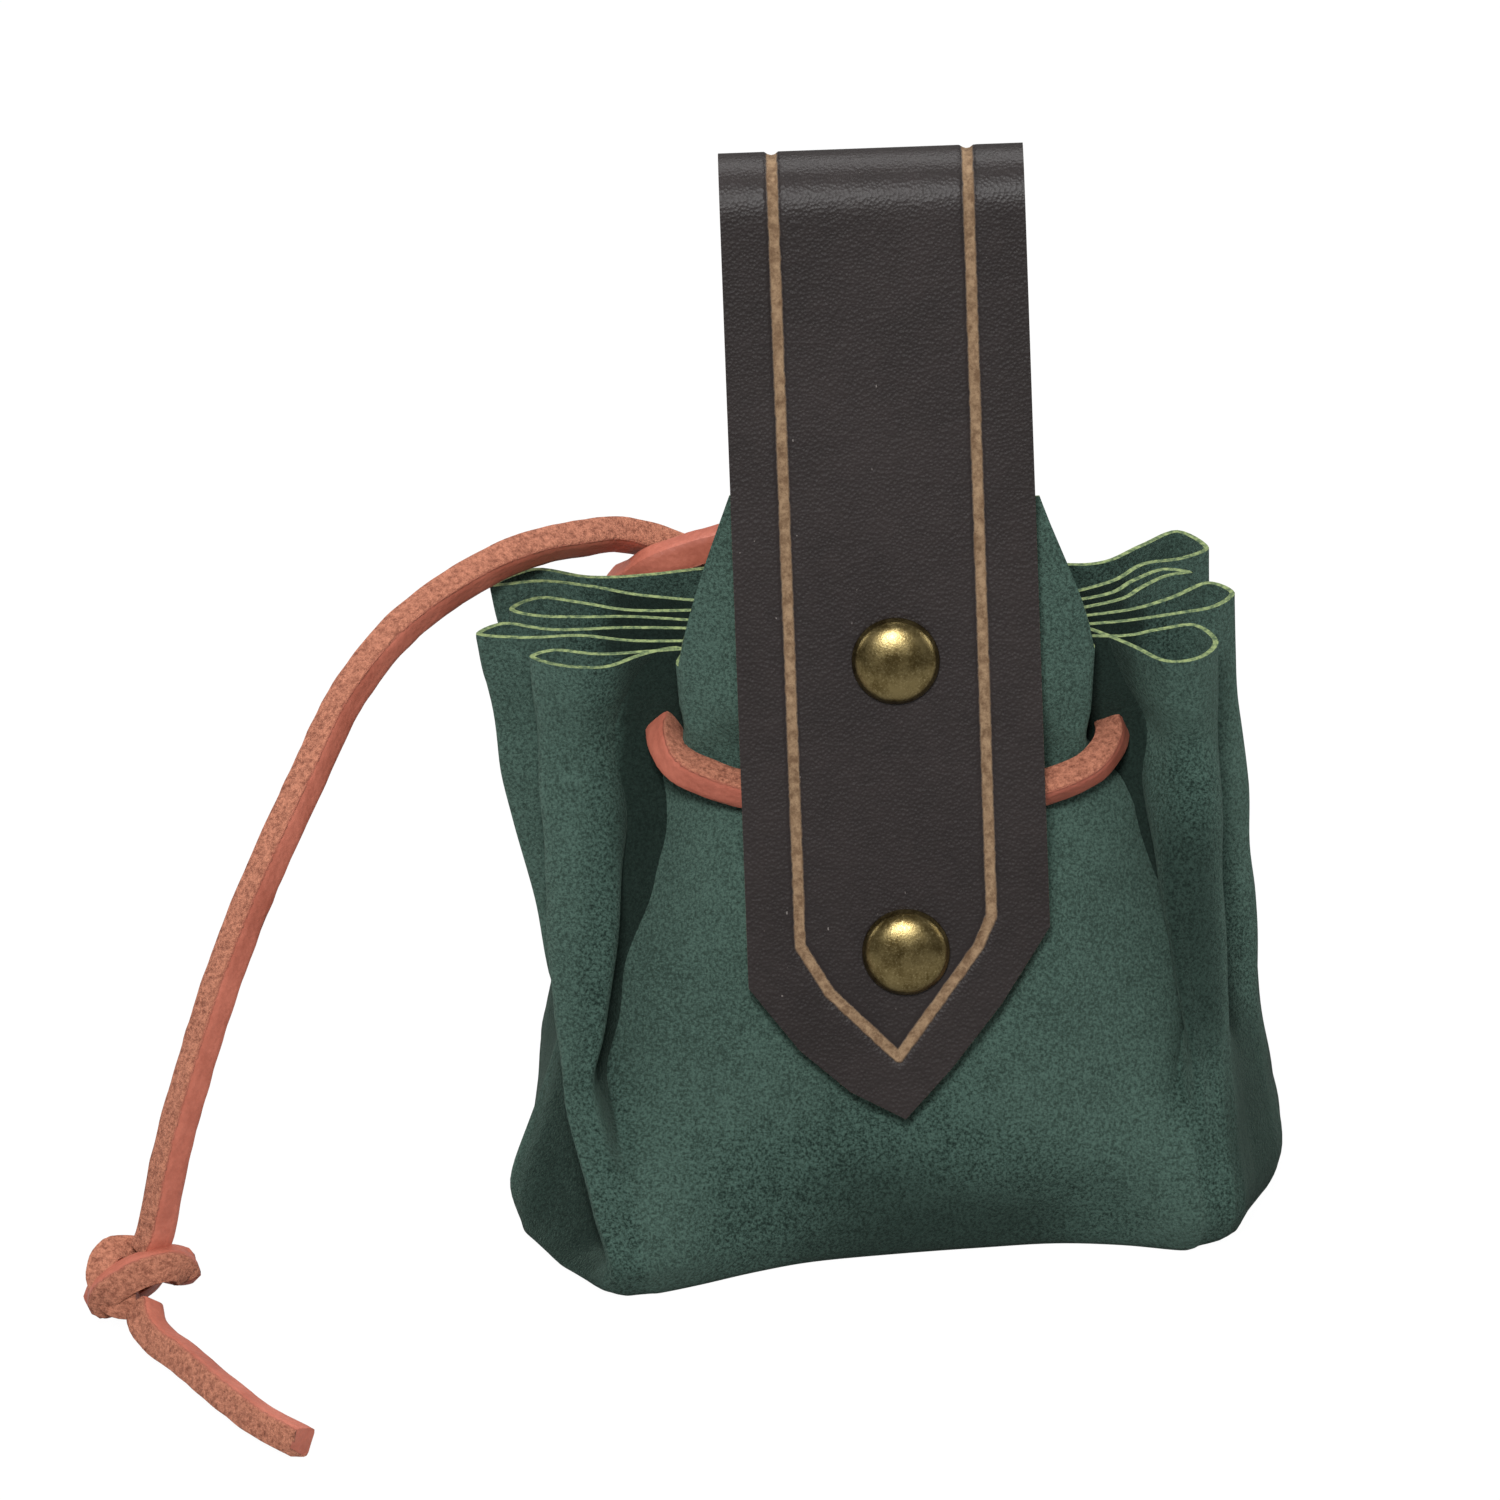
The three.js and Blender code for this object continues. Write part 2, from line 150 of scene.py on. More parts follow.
class Shader:
    """One material's node tree, with short ways to add what this bag's finishes use."""

    def __init__(self, name: str) -> None:
        """Start a material with an empty tree."""
        self.material = bpy.data.materials.new(name)
        self.material.use_nodes = True
        self.tree = self.material.node_tree
        self.tree.nodes.clear()

    def node(
        self,
        kind: str,
        settings: Optional[dict] = None,
        inputs: Optional[dict] = None,
        output: Union[int, str] = 0,
    ) -> Socket:
        """Add a node.

        Args:
            kind: The node's type.
            settings: Properties to set first.
            inputs: Values or sockets for its inputs, by name or number.
            output: Which output to return.

        Returns:
            The chosen output.
        """
        made = self.tree.nodes.new(kind)
        for key, value in (settings or {}).items():
            setattr(made, key, value)
        for key, value in (inputs or {}).items():
            self.link(made.inputs[key], value)
        return Socket(self, made.outputs[output])

    def finish(self, surface: Socket) -> bpy.types.Material:
        """Use a shader as the material's surface.

        Args:
            surface: The shader's socket.

        Returns:
            The material.
        """
        output = self.tree.nodes.new("ShaderNodeOutputMaterial")
        self.link(output.inputs["Surface"], surface)
        return self.material

    def link(self, target: bpy.types.NodeSocket, value: Union[Value, Sequence[float]]) -> None:
        """Link a socket to an input, or set the input's own value."""
        if isinstance(value, Socket):
            self.tree.links.new(value.socket, target)
        else:
            target.default_value = value

    def place(self) -> Socket:
        """Object coordinates."""
        return self.node("ShaderNodeTexCoord", output="Object")

    def flat(self) -> Socket:
        """The piece's own UV map."""
        return self.node("ShaderNodeTexCoord", output="UV")

    def scaled(self, vector: Socket, scale: Sequence[float]) -> Socket:
        """A coordinate scaled on each axis."""
        return self.node("ShaderNodeMapping", {"vector_type": "POINT"}, {"Vector": vector, "Scale": scale})

    def noise(self, vector: Socket, scale: float, detail: float = 3.0, rough: float = 0.55) -> Socket:
        """Fractal noise from 0 to 1."""
        inputs = {"Vector": vector, "Scale": scale, "Detail": detail, "Roughness": rough}
        return self.node("ShaderNodeTexNoise", inputs=inputs, output=0)

    def cells(self, vector: Socket, scale: float) -> Socket:
        """Distance to the nearest of scattered points."""
        return self.node("ShaderNodeTexVoronoi", inputs={"Vector": vector, "Scale": scale}, output="Distance")

    def part(self, vector: Socket, axis: int) -> Socket:
        """One component of a vector."""
        return self.node("ShaderNodeSeparateXYZ", inputs={0: vector}, output=axis)

    def mix(self, share: Value, low: Union[Socket, Colour], high: Union[Socket, Colour]) -> Socket:
        """A mix of two colours.

        Args:
            share: How much of the second colour.
            low: The first colour.
            high: The second colour.

        Returns:
            The mixed colour.
        """
        made = self.tree.nodes.new("ShaderNodeMix")
        made.data_type = "RGBA"
        self.link(made.inputs[0], share)
        for index, colour in ((6, low), (7, high)):
            self.link(made.inputs[index], colour if isinstance(colour, Socket) else (*colour, 1.0))
        return Socket(self, made.outputs[2])

    def bump(self, height: Socket, depth_mm: float, under: Optional[Socket] = None) -> Socket:
        """A Bump node whose height of 1 is depth_mm deep."""
        inputs = {"Height": height, "Distance": depth_mm * MM, "Strength": 1.0}
        if under is not None:
            inputs["Normal"] = under
        return self.node("ShaderNodeBump", inputs=inputs)

    def surface(self, **inputs: object) -> bpy.types.Material:
        """Finish the material with a Principled surface.

        Args:
            inputs: The shader's inputs by name, with _ for a space.

        Returns:
            The material.
        """
        named = {key.replace("_", " "): value for key, value in inputs.items()}
        named["Base Color"] = self._colour(named["Base Color"])
        if "Sheen Tint" in named:
            named["Sheen Tint"] = self._colour(named["Sheen Tint"])
        return self.finish(self.node("ShaderNodeBsdfPrincipled", inputs=named))

    @staticmethod
    def _colour(value: Union[Socket, Colour]) -> Union[Socket, tuple]:
        """A colour with its alpha, or the socket as it is."""
        return value if isinstance(value, Socket) else (*value, 1.0)


def linear(red: int, green: int, blue: int) -> Colour:
    """A linear colour from sRGB numbers of 0 to 255."""

    def one(value: int) -> float:
        """One channel."""
        share = value / 255
        return share / 12.92 if share <= 0.04045 else ((share + 0.055) / 1.055) ** 2.4

    return one(red), one(green), one(blue)


# ---------------------------------------------------------------- finishes


@dataclass(frozen=True)
class SuedeFinish:
    """Dark green suede with a fine brushed nap, with painted shade between its folds and painted light on its
    ridges.
    """

    deep: Colour = linear(22, 36, 31)
    nap: Colour = linear(72, 96, 87)
    # Random flecks; the same colour is also painted light on the ridges.
    fleck_and_ridge_light: Colour = linear(104, 130, 118)
    # Painted shade: the colour the suede takes where it lies in shade.
    painted_shade: Colour = linear(16, 27, 23)

    def build(self) -> bpy.types.Material:
        """Make the material."""
        shader = Shader("suede_nap")
        place = shader.place()
        clouds = shader.noise(place, 45, 3, 0.6)
        brushed = shader.noise(place, 260, 4, 0.65)
        fibres = shader.noise(place, 2900, 3, 0.75)
        grains = shader.noise(place, 5200, 2, 0.6)
        lift = (fibres * 2.2 + brushed * 0.3 + clouds * 0.3 - 0.9).step(0.12, 0.88)
        # The sheet's shade mask: painted shade, deep in the valleys between folds, on low side walls and in
        # two zones.
        shade_mask = shader.node("ShaderNodeAttribute", {"attribute_name": "shade_mask"}, output="Fac")
        tone = shader.mix(lift, self.deep, self.nap)
        tone = shader.mix(grains.step(0.62, 0.8) * 0.5, tone, self.fleck_and_ridge_light)
        # Painted shade where the shade mask is high.
        tone = shader.mix(shade_mask.step(0.38, 0.74) * 0.85, tone, self.painted_shade)
        # Painted light: the ridges, where the shade mask is low, are lightened a little.
        colour = shader.mix((1 - shade_mask.step(0.0, 0.36)) * 0.12, tone, self.fleck_and_ridge_light)
        height = fibres * 0.6 + grains * 0.4
        normal = shader.bump(height, 0.42, shader.bump(brushed, 0.25))
        return shader.surface(
            Base_Color=colour, Roughness=0.95, Normal=normal, Specular_IOR_Level=0.12,
            Sheen_Weight=0.28, Sheen_Roughness=0.45, Sheen_Tint=linear(150, 180, 165),
        )


@dataclass(frozen=True)
class CutSuedeFinish:
    """The pale yellow-green edge where the suede was cut."""

    core: Colour = linear(140, 155, 102)
    dusty: Colour = linear(62, 82, 56)

    def build(self) -> bpy.types.Material:
        """Make the material."""
        shader = Shader("suede_cut_edge")
        place = shader.place()
        fibres = shader.noise(place, 1400, 3, 0.7)
        colour = shader.mix(fibres.step(0.3, 0.7), self.dusty, self.core)
        return shader.surface(Base_Color=colour, Roughness=0.95, Normal=shader.bump(fibres, 0.2))


class Side(Enum):
    """Which face of a piece of leather."""

    GRAIN = "grain"
    FLESH = "flesh"
    EDGE = "edge"


@dataclass(frozen=True)
class StrapFinish:
    """Dark brown strap leather: satin grain, tooled tan grooves, tan flesh and cut edges."""

    dark: Colour = linear(28, 22, 21)
    worn: Colour = linear(40, 33, 32)
    tan: Colour = linear(150, 124, 96)
    tan_dark: Colour = linear(104, 80, 58)
    scuff: Colour = linear(150, 142, 138)

    def build(self, side: Side, groove: Callable[[Shader, Socket], Socket]) -> bpy.types.Material:
        """Make the material for one side.

        Args:
            side: The leather's side.
            groove: Gives a mask of the tooled grooves from the flat map.

        Returns:
            The material.
        """
        shader = Shader(f"strap_{side.value}")
        place = shader.place()
        fibres = shader.noise(place, 900, 4, 0.7)
        if side is not Side.GRAIN:
            colour = shader.mix(fibres.step(0.3, 0.7), self.tan_dark, self.tan)
            return shader.surface(Base_Color=colour, Roughness=0.9, Normal=shader.bump(fibres, 0.25))
        clouds = shader.noise(place, 38, 3, 0.6)
        pores = shader.cells(place, 2600)
        creases = shader.noise(place, 420, 5, 0.7)
        leather = shader.mix((clouds * 0.7 + creases * 0.5).step(0.35, 0.85), self.dark, self.worn)
        nicks = shader.noise(shader.scaled(place, (1.0, 1.0, 0.35)), 1900, 1, 0.5).step(0.8, 0.84)
        leather = shader.mix(nicks * 0.5, leather, self.scuff)
        channel = groove(shader, shader.flat())
        tooled = shader.mix(fibres.step(0.32, 0.68), self.tan_dark, self.tan)
        colour = shader.mix(channel, leather, tooled)
        grain = pores * 0.5 + creases * 0.5
        normal = shader.bump(grain, 0.1, shader.bump(fibres * channel, 0.25))
        roughness = 0.42 + clouds * 0.12 + channel * 0.35
        return shader.surface(Base_Color=colour, Roughness=roughness, Normal=normal, Specular_IOR_Level=0.3)


@dataclass(frozen=True)
class LaceFinish:
    """Square red-brown lace: smooth grain on one side, fibrous flesh on the others."""

    red: Colour = linear(192, 112, 92)
    red_dark: Colour = linear(158, 84, 66)
    flesh: Colour = linear(192, 126, 100)
    flesh_dark: Colour = linear(122, 70, 52)

    def build(self) -> bpy.types.Material:
        """Make the material."""
        shader = Shader("lace_hide")
        place = shader.place()
        flat = shader.flat()
        around = shader.part(flat, 0)
        strands = shader.noise(shader.scaled(flat, (60.0, 420.0, 1.0)), 1.0, 4, 0.75)
        fibres = shader.noise(place, 1500, 4, 0.75)
        clouds = shader.noise(place, 120, 3, 0.6)
        grain = shader.mix((clouds * 0.8 + fibres * 0.35).step(0.35, 0.8), self.red_dark, self.red)
        rough_side = shader.mix((fibres * 0.7 + strands * 0.4).step(0.38, 0.68), self.flesh_dark, self.flesh)
        is_grain = 1 - (abs(around - 0.625) + (fibres - 0.5) * 0.04).step(0.235, 0.27)
        colour = shader.mix(is_grain, rough_side, grain)
        height = fibres * (1.1 - is_grain)
        roughness = 0.9 - is_grain * 0.38
        normal = shader.bump(height, 0.4, shader.bump(shader.cells(place, 1500), 0.05))
        return shader.surface(Base_Color=colour, Roughness=roughness, Normal=normal, Specular_IOR_Level=0.35)


@dataclass(frozen=True)
class PatinaFinish:
    """Antique brass: bright where it is rubbed, olive brown in the patina."""

    bright: Colour = linear(190, 174, 130)
    olive: Colour = linear(134, 119, 80)
    brown: Colour = linear(94, 80, 48)

    def build(self) -> bpy.types.Material:
        """Make the material."""
        shader = Shader("antique_brass")
        place = shader.place()
        clouds = shader.noise(place, 500, 3, 0.6)
        specks = shader.noise(place, 3800, 3, 0.7)
        patina = shader.mix((clouds * 0.6 + specks * 0.4).step(0.36, 0.6), self.brown, self.olive)
        colour = shader.mix(specks.step(0.55, 0.75) * 0.5, patina, self.bright)
        roughness = 0.24 + clouds * 0.16
        normal = shader.bump(specks, 0.02)
        return shader.surface(Base_Color=colour, Metallic=1.0, Roughness=roughness, Normal=normal)


# ---------------------------------------------------------------- modelling by hand


def deselect_all() -> None:
    """Leave edit mode and select nothing."""
    if bpy.context.mode != "OBJECT":
        bpy.ops.object.mode_set(mode="OBJECT")
    bpy.ops.object.select_all(action="DESELECT")


def use(piece: bpy.types.Object) -> None:
    """Select one piece and make it active."""
    deselect_all()
    piece.select_set(True)
    bpy.context.view_layer.objects.active = piece


def named(name: str) -> bpy.types.Object:
    """The newly added primitive, named and left at the origin."""
    piece = bpy.context.active_object
    piece.name = name
    piece.data.name = name
    return piece


def edit(piece: bpy.types.Object, work: Callable[[], None], select: str = "SELECT") -> None:
    """Run operators on a piece in edit mode.

    Args:
        piece: The piece.
        work: Calls the operators.
        select: SELECT or DESELECT, for all of it first.
    """
    use(piece)
    bpy.ops.object.mode_set(mode="EDIT")
    bpy.ops.mesh.select_all(action=select)
    work()
    bpy.ops.object.mode_set(mode="OBJECT")


def modify(piece: bpy.types.Object, kind: str, **settings: object) -> None:
    """Add a modifier and apply it."""
    use(piece)
    modifier = piece.modifiers.new(kind.lower(), kind)
    for key, value in settings.items():
        setattr(modifier, key, value)
    bpy.ops.object.modifier_apply(modifier=modifier.name)


def places_of(piece: bpy.types.Object) -> np.ndarray:
    """A piece's vertices as an array."""
    flat = np.empty(len(piece.data.vertices) * 3)
    piece.data.vertices.foreach_get("co", flat)
    return flat.reshape(-1, 3)


def move_to(piece: bpy.types.Object, places: np.ndarray) -> None:
    """Move a piece's vertices to new places, in the units of the array."""
    piece.data.vertices.foreach_set("co", np.ascontiguousarray(places, dtype=np.float64).ravel())
    piece.data.update()


def grid(name: str, columns: int, rows: int) -> bpy.types.Object:
    """A flat grid from 0 to 1 each way, with its UV map."""
    deselect_all()
    bpy.ops.mesh.primitive_grid_add(x_subdivisions=columns, y_subdivisions=rows, size=1, location=(0, 0, 0))
    piece = named(name)
    move_to(piece, places_of(piece) + np.array([0.5, 0.5, 0.0]))
    return piece


def write_map(piece: bpy.types.Object, places: np.ndarray) -> None:
    """Store flat places of the vertices as the piece's UV map."""
    layer = piece.data.uv_layers.active or piece.data.uv_layers.new(name="flat")
    corners = np.empty(len(piece.data.loops), dtype=np.int64)
    piece.data.loops.foreach_get("vertex_index", corners)
    layer.data.foreach_set("uv", np.ascontiguousarray(places[corners, :2]).ravel())


def turn_outward(piece: bpy.types.Object) -> None:
    """Point a closed piece's faces outwards."""
    edit(piece, lambda: bpy.ops.mesh.normals_make_consistent(inside=False))


def finish_piece(
    piece: bpy.types.Object, materials: Sequence[bpy.types.Material], smooth_degrees: float = 180.0
) -> bpy.types.Object:
    """Put a piece into metres, shade it smooth and give it its materials.

    Args:
        piece: The piece, still in millimetres.
        materials: Its material slots in order.
        smooth_degrees: Edges sharper than this stay sharp.

    Returns:
        The piece.
    """
    move_to(piece, places_of(piece) * MM)
    for material in materials[len(piece.data.materials) :]:
        piece.data.materials.append(material)
    use(piece)
    bpy.ops.object.shade_smooth_by_angle(angle=math.radians(smooth_degrees))
    LOG.info("%s: %d faces", piece.name, len(piece.data.polygons))
    return piece


def curve_through(points: Sequence[Sequence[float]], spacing: float) -> np.ndarray:
    """Evenly spaced places on a centripetal curve through points.

    Args:
        points: The points in order.
        spacing: The distance between places.

    Returns:
        The places.
    """
    given = np.array(points, dtype=float)
    ends = np.vstack([2 * given[0] - given[1], given, 2 * given[-1] - given[-2]])
    fine = []
    for i in range(1, len(ends) - 2):
        p0, p1, p2, p3 = ends[i - 1 : i + 3]
        d1, d2, d3 = (max(np.linalg.norm(b - a) ** 0.5, 1e-6) for a, b in ((p0, p1), (p1, p2), (p2, p3)))
        m1 = (p1 - p0) / d1 - (p2 - p0) / (d1 + d2) + (p2 - p1) / d2
        m2 = (p2 - p1) / d2 - (p3 - p1) / (d2 + d3) + (p3 - p2) / d3
        for t in np.arange(24) / 24:
            a = 2 * t**3 - 3 * t**2 + 1
            b = t**3 - 2 * t**2 + t
            c = -2 * t**3 + 3 * t**2
            d = t**3 - t**2
            fine.append(a * p1 + b * d2 * m1 + c * p2 + d * d2 * m2)
    fine = np.vstack([*fine, given[-1]])
    along = np.concatenate([[0], np.cumsum(np.linalg.norm(np.diff(fine, axis=0), axis=1))])
    wanted = np.linspace(0, along[-1], max(4, int(round(along[-1] / spacing)) + 1))
    return np.stack([np.interp(wanted, along, fine[:, axis]) for axis in range(3)], axis=1)


def length_of(places: np.ndarray) -> float:
    """The length of a line of places."""
    return float(np.linalg.norm(np.diff(places, axis=0), axis=1).sum())


def smooth_between(levels: Sequence[float], values: np.ndarray, at: float) -> np.ndarray:
    """Values at a height, on smooth curves through the values at given levels.

    Args:
        levels: Rising heights.
        values: One array for each height.
        at: The height wanted.

    Returns:
        The values there.
    """
    heights = np.array(levels, dtype=float)
    at = float(np.clip(at, heights[0], heights[-1]))
    i = int(np.clip(np.searchsorted(heights, at) - 1, 0, len(heights) - 2))
    span = heights[i + 1] - heights[i]
    t = (at - heights[i]) / span

    def slope(k: int) -> np.ndarray:
        """The curve's slope at a level."""
        low, high = max(0, k - 1), min(len(heights) - 1, k + 1)
        return (values[high] - values[low]) / (heights[high] - heights[low])

    a = 2 * t**3 - 3 * t**2 + 1
    b = t**3 - 2 * t**2 + t
    c = -2 * t**3 + 3 * t**2
    d = t**3 - t**2
    return a * values[i] + b * span * slope(i) + c * values[i + 1] + d * span * slope(i + 1)


# ---------------------------------------------------------------- the strap's plane


@dataclass(frozen=True)
class StrapPlane:
    """The leaning plane of the strap's front face, from the lower rivet."""

    origin: Point = (2.9, -22.8, 37.7)
    lean: float = math.radians(19)
    roll: float = math.radians(2.1)
    lace_up: float = 16.8
    dent_depth: float = 4.3
    dent_reach: float = 12.0

    def axes(self, rolled: bool = True) -> tuple[np.ndarray, np.ndarray, np.ndarray]:
        """Unit directions across, up and out of the plane."""
        up = np.array([0.0, math.sin(self.lean), math.cos(self.lean)])
        out = np.array([0.0, -math.cos(self.lean), math.sin(self.lean)])
        across = np.array([1.0, 0.0, 0.0])
        if not rolled:
            return across, up, out
        c, s = math.cos(self.roll), math.sin(self.roll)
        return c * across + s * up, c * up - s * across, out

    def to_world(self, across: np.ndarray, up: np.ndarray, out: np.ndarray) -> np.ndarray:
        """World places from places in the plane, in millimetres."""
        e_across, e_up, e_out = self.axes()
        return (
            np.array(self.origin)
            + np.multiply.outer(across, e_across)
            + np.multiply.outer(up, e_up)
            + np.multiply.outer(out, e_out)
        )

    def dent(self, up: Union[float, np.ndarray]) -> np.ndarray:
        """How far the lace presses the layers behind the strap inwards."""
        away = np.clip(np.abs(np.asarray(up, dtype=float) - self.lace_up) / self.dent_reach, 0, 1)
        return self.dent_depth * 0.5 * (1 + np.cos(np.pi * away))


PLANE = StrapPlane()


# ---------------------------------------------------------------- the suede pouch


@dataclass
class Fold:
    """One outward fold of the gathered rim: places on its front wall, its tip and its back wall."""

    front: Sequence[tuple[float, float]]
    tip: tuple[float, float]
    back: Sequence[tuple[float, float]]
    valley: tuple[float, float]

    def at_rim(self) -> list[tuple[float, float]]:
        """The fold's places in order, ending in the valley behind it."""
        return [*self.front, self.tip, *self.back, self.valley]


@dataclass
class Pouch:
    """The suede sheet, gathered: a flat base, a bellied front with its tongue, and folded sides."""

    thickness: float = 0.62
    sheet_span: float = 225.0
    rim_left: float = 66.0
    rim_right: float = 68.6
    tongue_top: float = 86.6
    neck_z: float = 60.0
    columns_each: int = 6
    rows_below_neck: int = 58
    rows_above_neck: int = 24
    floor_rows: int = 10
    left: Sequence[Fold] = field(default_factory=lambda: [
        Fold([(-27, -4.4), (-31.5, -7.0), (-36.8, -6.5)], (-40.4, -4.2),
             [(-37.4, -2.3), (-32.5, -3.2), (-27, -2.6)], (-16.5, -0.9)),
        Fold([(-28, -0.9), (-34.5, 0.3), (-41, -0.1)], (-46.6, 0.9), [(-43.4, 3.9), (-37.5, 2.5), (-29, 3.0)],
             (-16.5, 2.9)),
        Fold([(-28, 4.7), (-34.5, 4.7), (-40, 5.1)], (-42.8, 7.0), [(-39.4, 9.9), (-34, 8.7), (-28, 7.0)],
             (-16.5, 7.6)),
        Fold([(-27.5, 9.7), (-33, 11.7), (-39, 13.2)], (-45, 12.4),
             [(-40, 16.6), (-33.7, 14.9), (-26.8, 15.4)], (-18.5, 17.2)),
    ])
    right: Sequence[Fold] = field(default_factory=lambda: [
        Fold([(28.2, -6.6), (32.6, -10.2), (36.8, -9.2)], (38.9, -5.2),
             [(36.2, -1.0), (31.8, -2.0), (27.2, -3.6)], (17.5, -2.8)),
        Fold([(28.5, -0.7), (34, 0.9), (38.6, 2.6)], (41, 6.2), [(37.8, 8.9), (33.2, 5.2), (28, 2.3)],
             (17.5, 0.0)),
        Fold([(27.2, 4.0), (30.4, 7.3), (33.2, 9.8)], (36.3, 11.0), [(32.6, 12.0), (29, 9.2), (25.8, 6.0)],
             (17.5, 3.4)),
        Fold([(26.6, 8.4), (30.6, 12.6), (35.2, 14.0)], (38.3, 16.8),
             [(34.6, 21.0), (30.2, 17.6), (26, 13.8)], (20.9, 13.2)),
    ])

    def _rim(self) -> np.ndarray:
        """Plan places round the rim, from the front centre to the right, the back and the left."""
        def side(folds: Sequence[Fold], edge: Sequence[tuple], back: Sequence[tuple]) -> list:
            """One side's places from the panel to the back."""
            return [*edge, *[place for fold in folds for place in fold.at_rim()], *back]

        right = side(self.right, [(11, 0), (18.1, 0), (23.6, 0), (23.2, -5.4)], [(10.5, 15.6)])
        left = side(self.left, [(-8, 0), (-17.4, 0), (-22.4, 0), (-20.8, -4.2)], [(-8.5, 17.6)])
        return np.array([(1.6, 0), *right, (1.0, 17.9), *left[::-1]], dtype=float)

    def _spread(
        self, keys_right: Sequence[tuple], keys_left: Sequence[tuple], front: tuple, back: tuple
    ) -> np.ndarray:
        """A ring lower down, with its places spread between a few keys.

        Args:
            keys_right: quarter, shoulder, edge, valley, then tip and valley for each fold, back quarter.
            keys_left: The same on the left.
            front: The front's middle.
            back: The back's middle.

        Returns:
            The ring's places in the rim's order.
        """
        def side(keys: Sequence[tuple]) -> list:
            """Spread one side's keys."""
            places = [np.array(key, dtype=float) for key in keys]
            ring = places[:4]
            for k in range(4):
                before, tip, after = places[3 + 2 * k], places[4 + 2 * k], places[5 + 2 * k]
                middle = (before + after) / 2
                swell = (tip - middle) * 0.35
                ring += [
                    before + (tip - before) * share + swell * share * 0.6 for share in (0.27, 0.54, 0.8)
                ]
                ring += [tip]
                ring += [
                    tip + (after - tip) * share + swell * (1 - share) * 0.6 for share in (0.2, 0.46, 0.73)
                ]
                ring += [after]
            return [*ring, places[12]]

        return np.array([front, *side(keys_right), back, *side(keys_left)[::-1]], dtype=float)

    def _belly(self) -> np.ndarray:
        """The ring where the folds have opened out, above the base."""
        right = [(12, 0), (22, 0), (31, -25.2), (35, -23.2), (40, -19), (41.4, -13), (44.4, -7), (43.4, -0.5),
                 (43.8, 6), (41.8, 12.5), (39, 19), (29, 26), (14.5, 29)]
        left = [(-9, 0), (-20, 0), (-28.6, -25), (-31.2, -24.4), (-36.2, -27.2), (-32, -18.6), (-36.8, -9.6),
                (-36.2, -2), (-37.2, 5), (-36.4, 12), (-35, 19), (-28, 26), (-14, 29)]
        return self._spread(right, left, (1.6, 0), (0, 29.8))

    def _foot(self) -> np.ndarray:
        """The widest ring, just above the floor."""
        right = [(12, -28), (21, -27), (29, -27.4), (36, -28.8), (41.6, -26.2), (43.6, -20.5), (46.6, -13.5),
                 (46.6, -4), (45.4, 6), (42.6, 16), (37, 24.5), (27, 30.5), (13.5, 32.8)]
        left = [(-8, -31.2), (-15, -33.4), (-21.4, -36.2), (-26, -38.2), (-31.2, -38.8), (-30.4, -31.4),
                (-41.9, -21.6), (-40.8, -12), (-39.8, 2), (-39.4, 13), (-36, 23), (-26, 29.8), (-13, 32.6)]
        return self._spread(right, left, (2, -29.4), (0, 33.2))

    def _hem(self) -> np.ndarray:
        """The ring on the floor, where the recesses between the folds have closed."""
        right = [(12, -27.4), (21, -26.4), (29, -26.8), (36, -28), (40.6, -25.4), (42.8, -20), (45.4, -13.2),
                 (45.4, -4), (44.2, 6), (41.4, 16), (36, 24), (26.4, 29.8), (13.2, 32)]
        left = [(-8, -30.6), (-15, -33), (-21.4, -35.8), (-26, -37.6), (-31.4, -37.8), (-37.2, -31.6),
                (-41.4, -23), (-40.4, -12), (-39.6, 2), (-38.4, 13), (-35.2, 22.4), (-25.4, 29.2),
                (-12.8, 32)]
        return self._spread(right, left, (2, -28.8), (0, 32.4))

    def _panel_y(self, x: np.ndarray, z: np.ndarray) -> np.ndarray:
        """The front panel's outer face at a height, curled back towards its edges."""
        up = (z - PLANE.origin[2]) / math.cos(PLANE.lean)
        face = PLANE.origin[1] + (z - PLANE.origin[2]) * math.tan(PLANE.lean) + 2.62
        middle = PLANE.origin[0] - 0.8 - up * math.sin(PLANE.roll)
        away = np.abs(x - middle)
        curl = np.clip((away - 16.5) / 8, 0, 2) ** 1.7
        strength = np.interp(z, [20, 34, 46, 54, 62, 68, 76, 87], [2.2, 3.2, 5.0, 4.6, 4.2, 3.4, 2.2, 1.0])
        under_strap = 1 - np.clip((away - 18.5) / 6, 0, 1)
        return face + curl * strength + PLANE.dent(up) * (0.35 + 0.65 * under_strap)

    @staticmethod
    def _ring(z: float, rings: dict[float, np.ndarray]) -> np.ndarray:
        """The control places at a height between the key rings."""
        levels = sorted(rings)
        return smooth_between(levels, np.array([rings[level] for level in levels]), z)

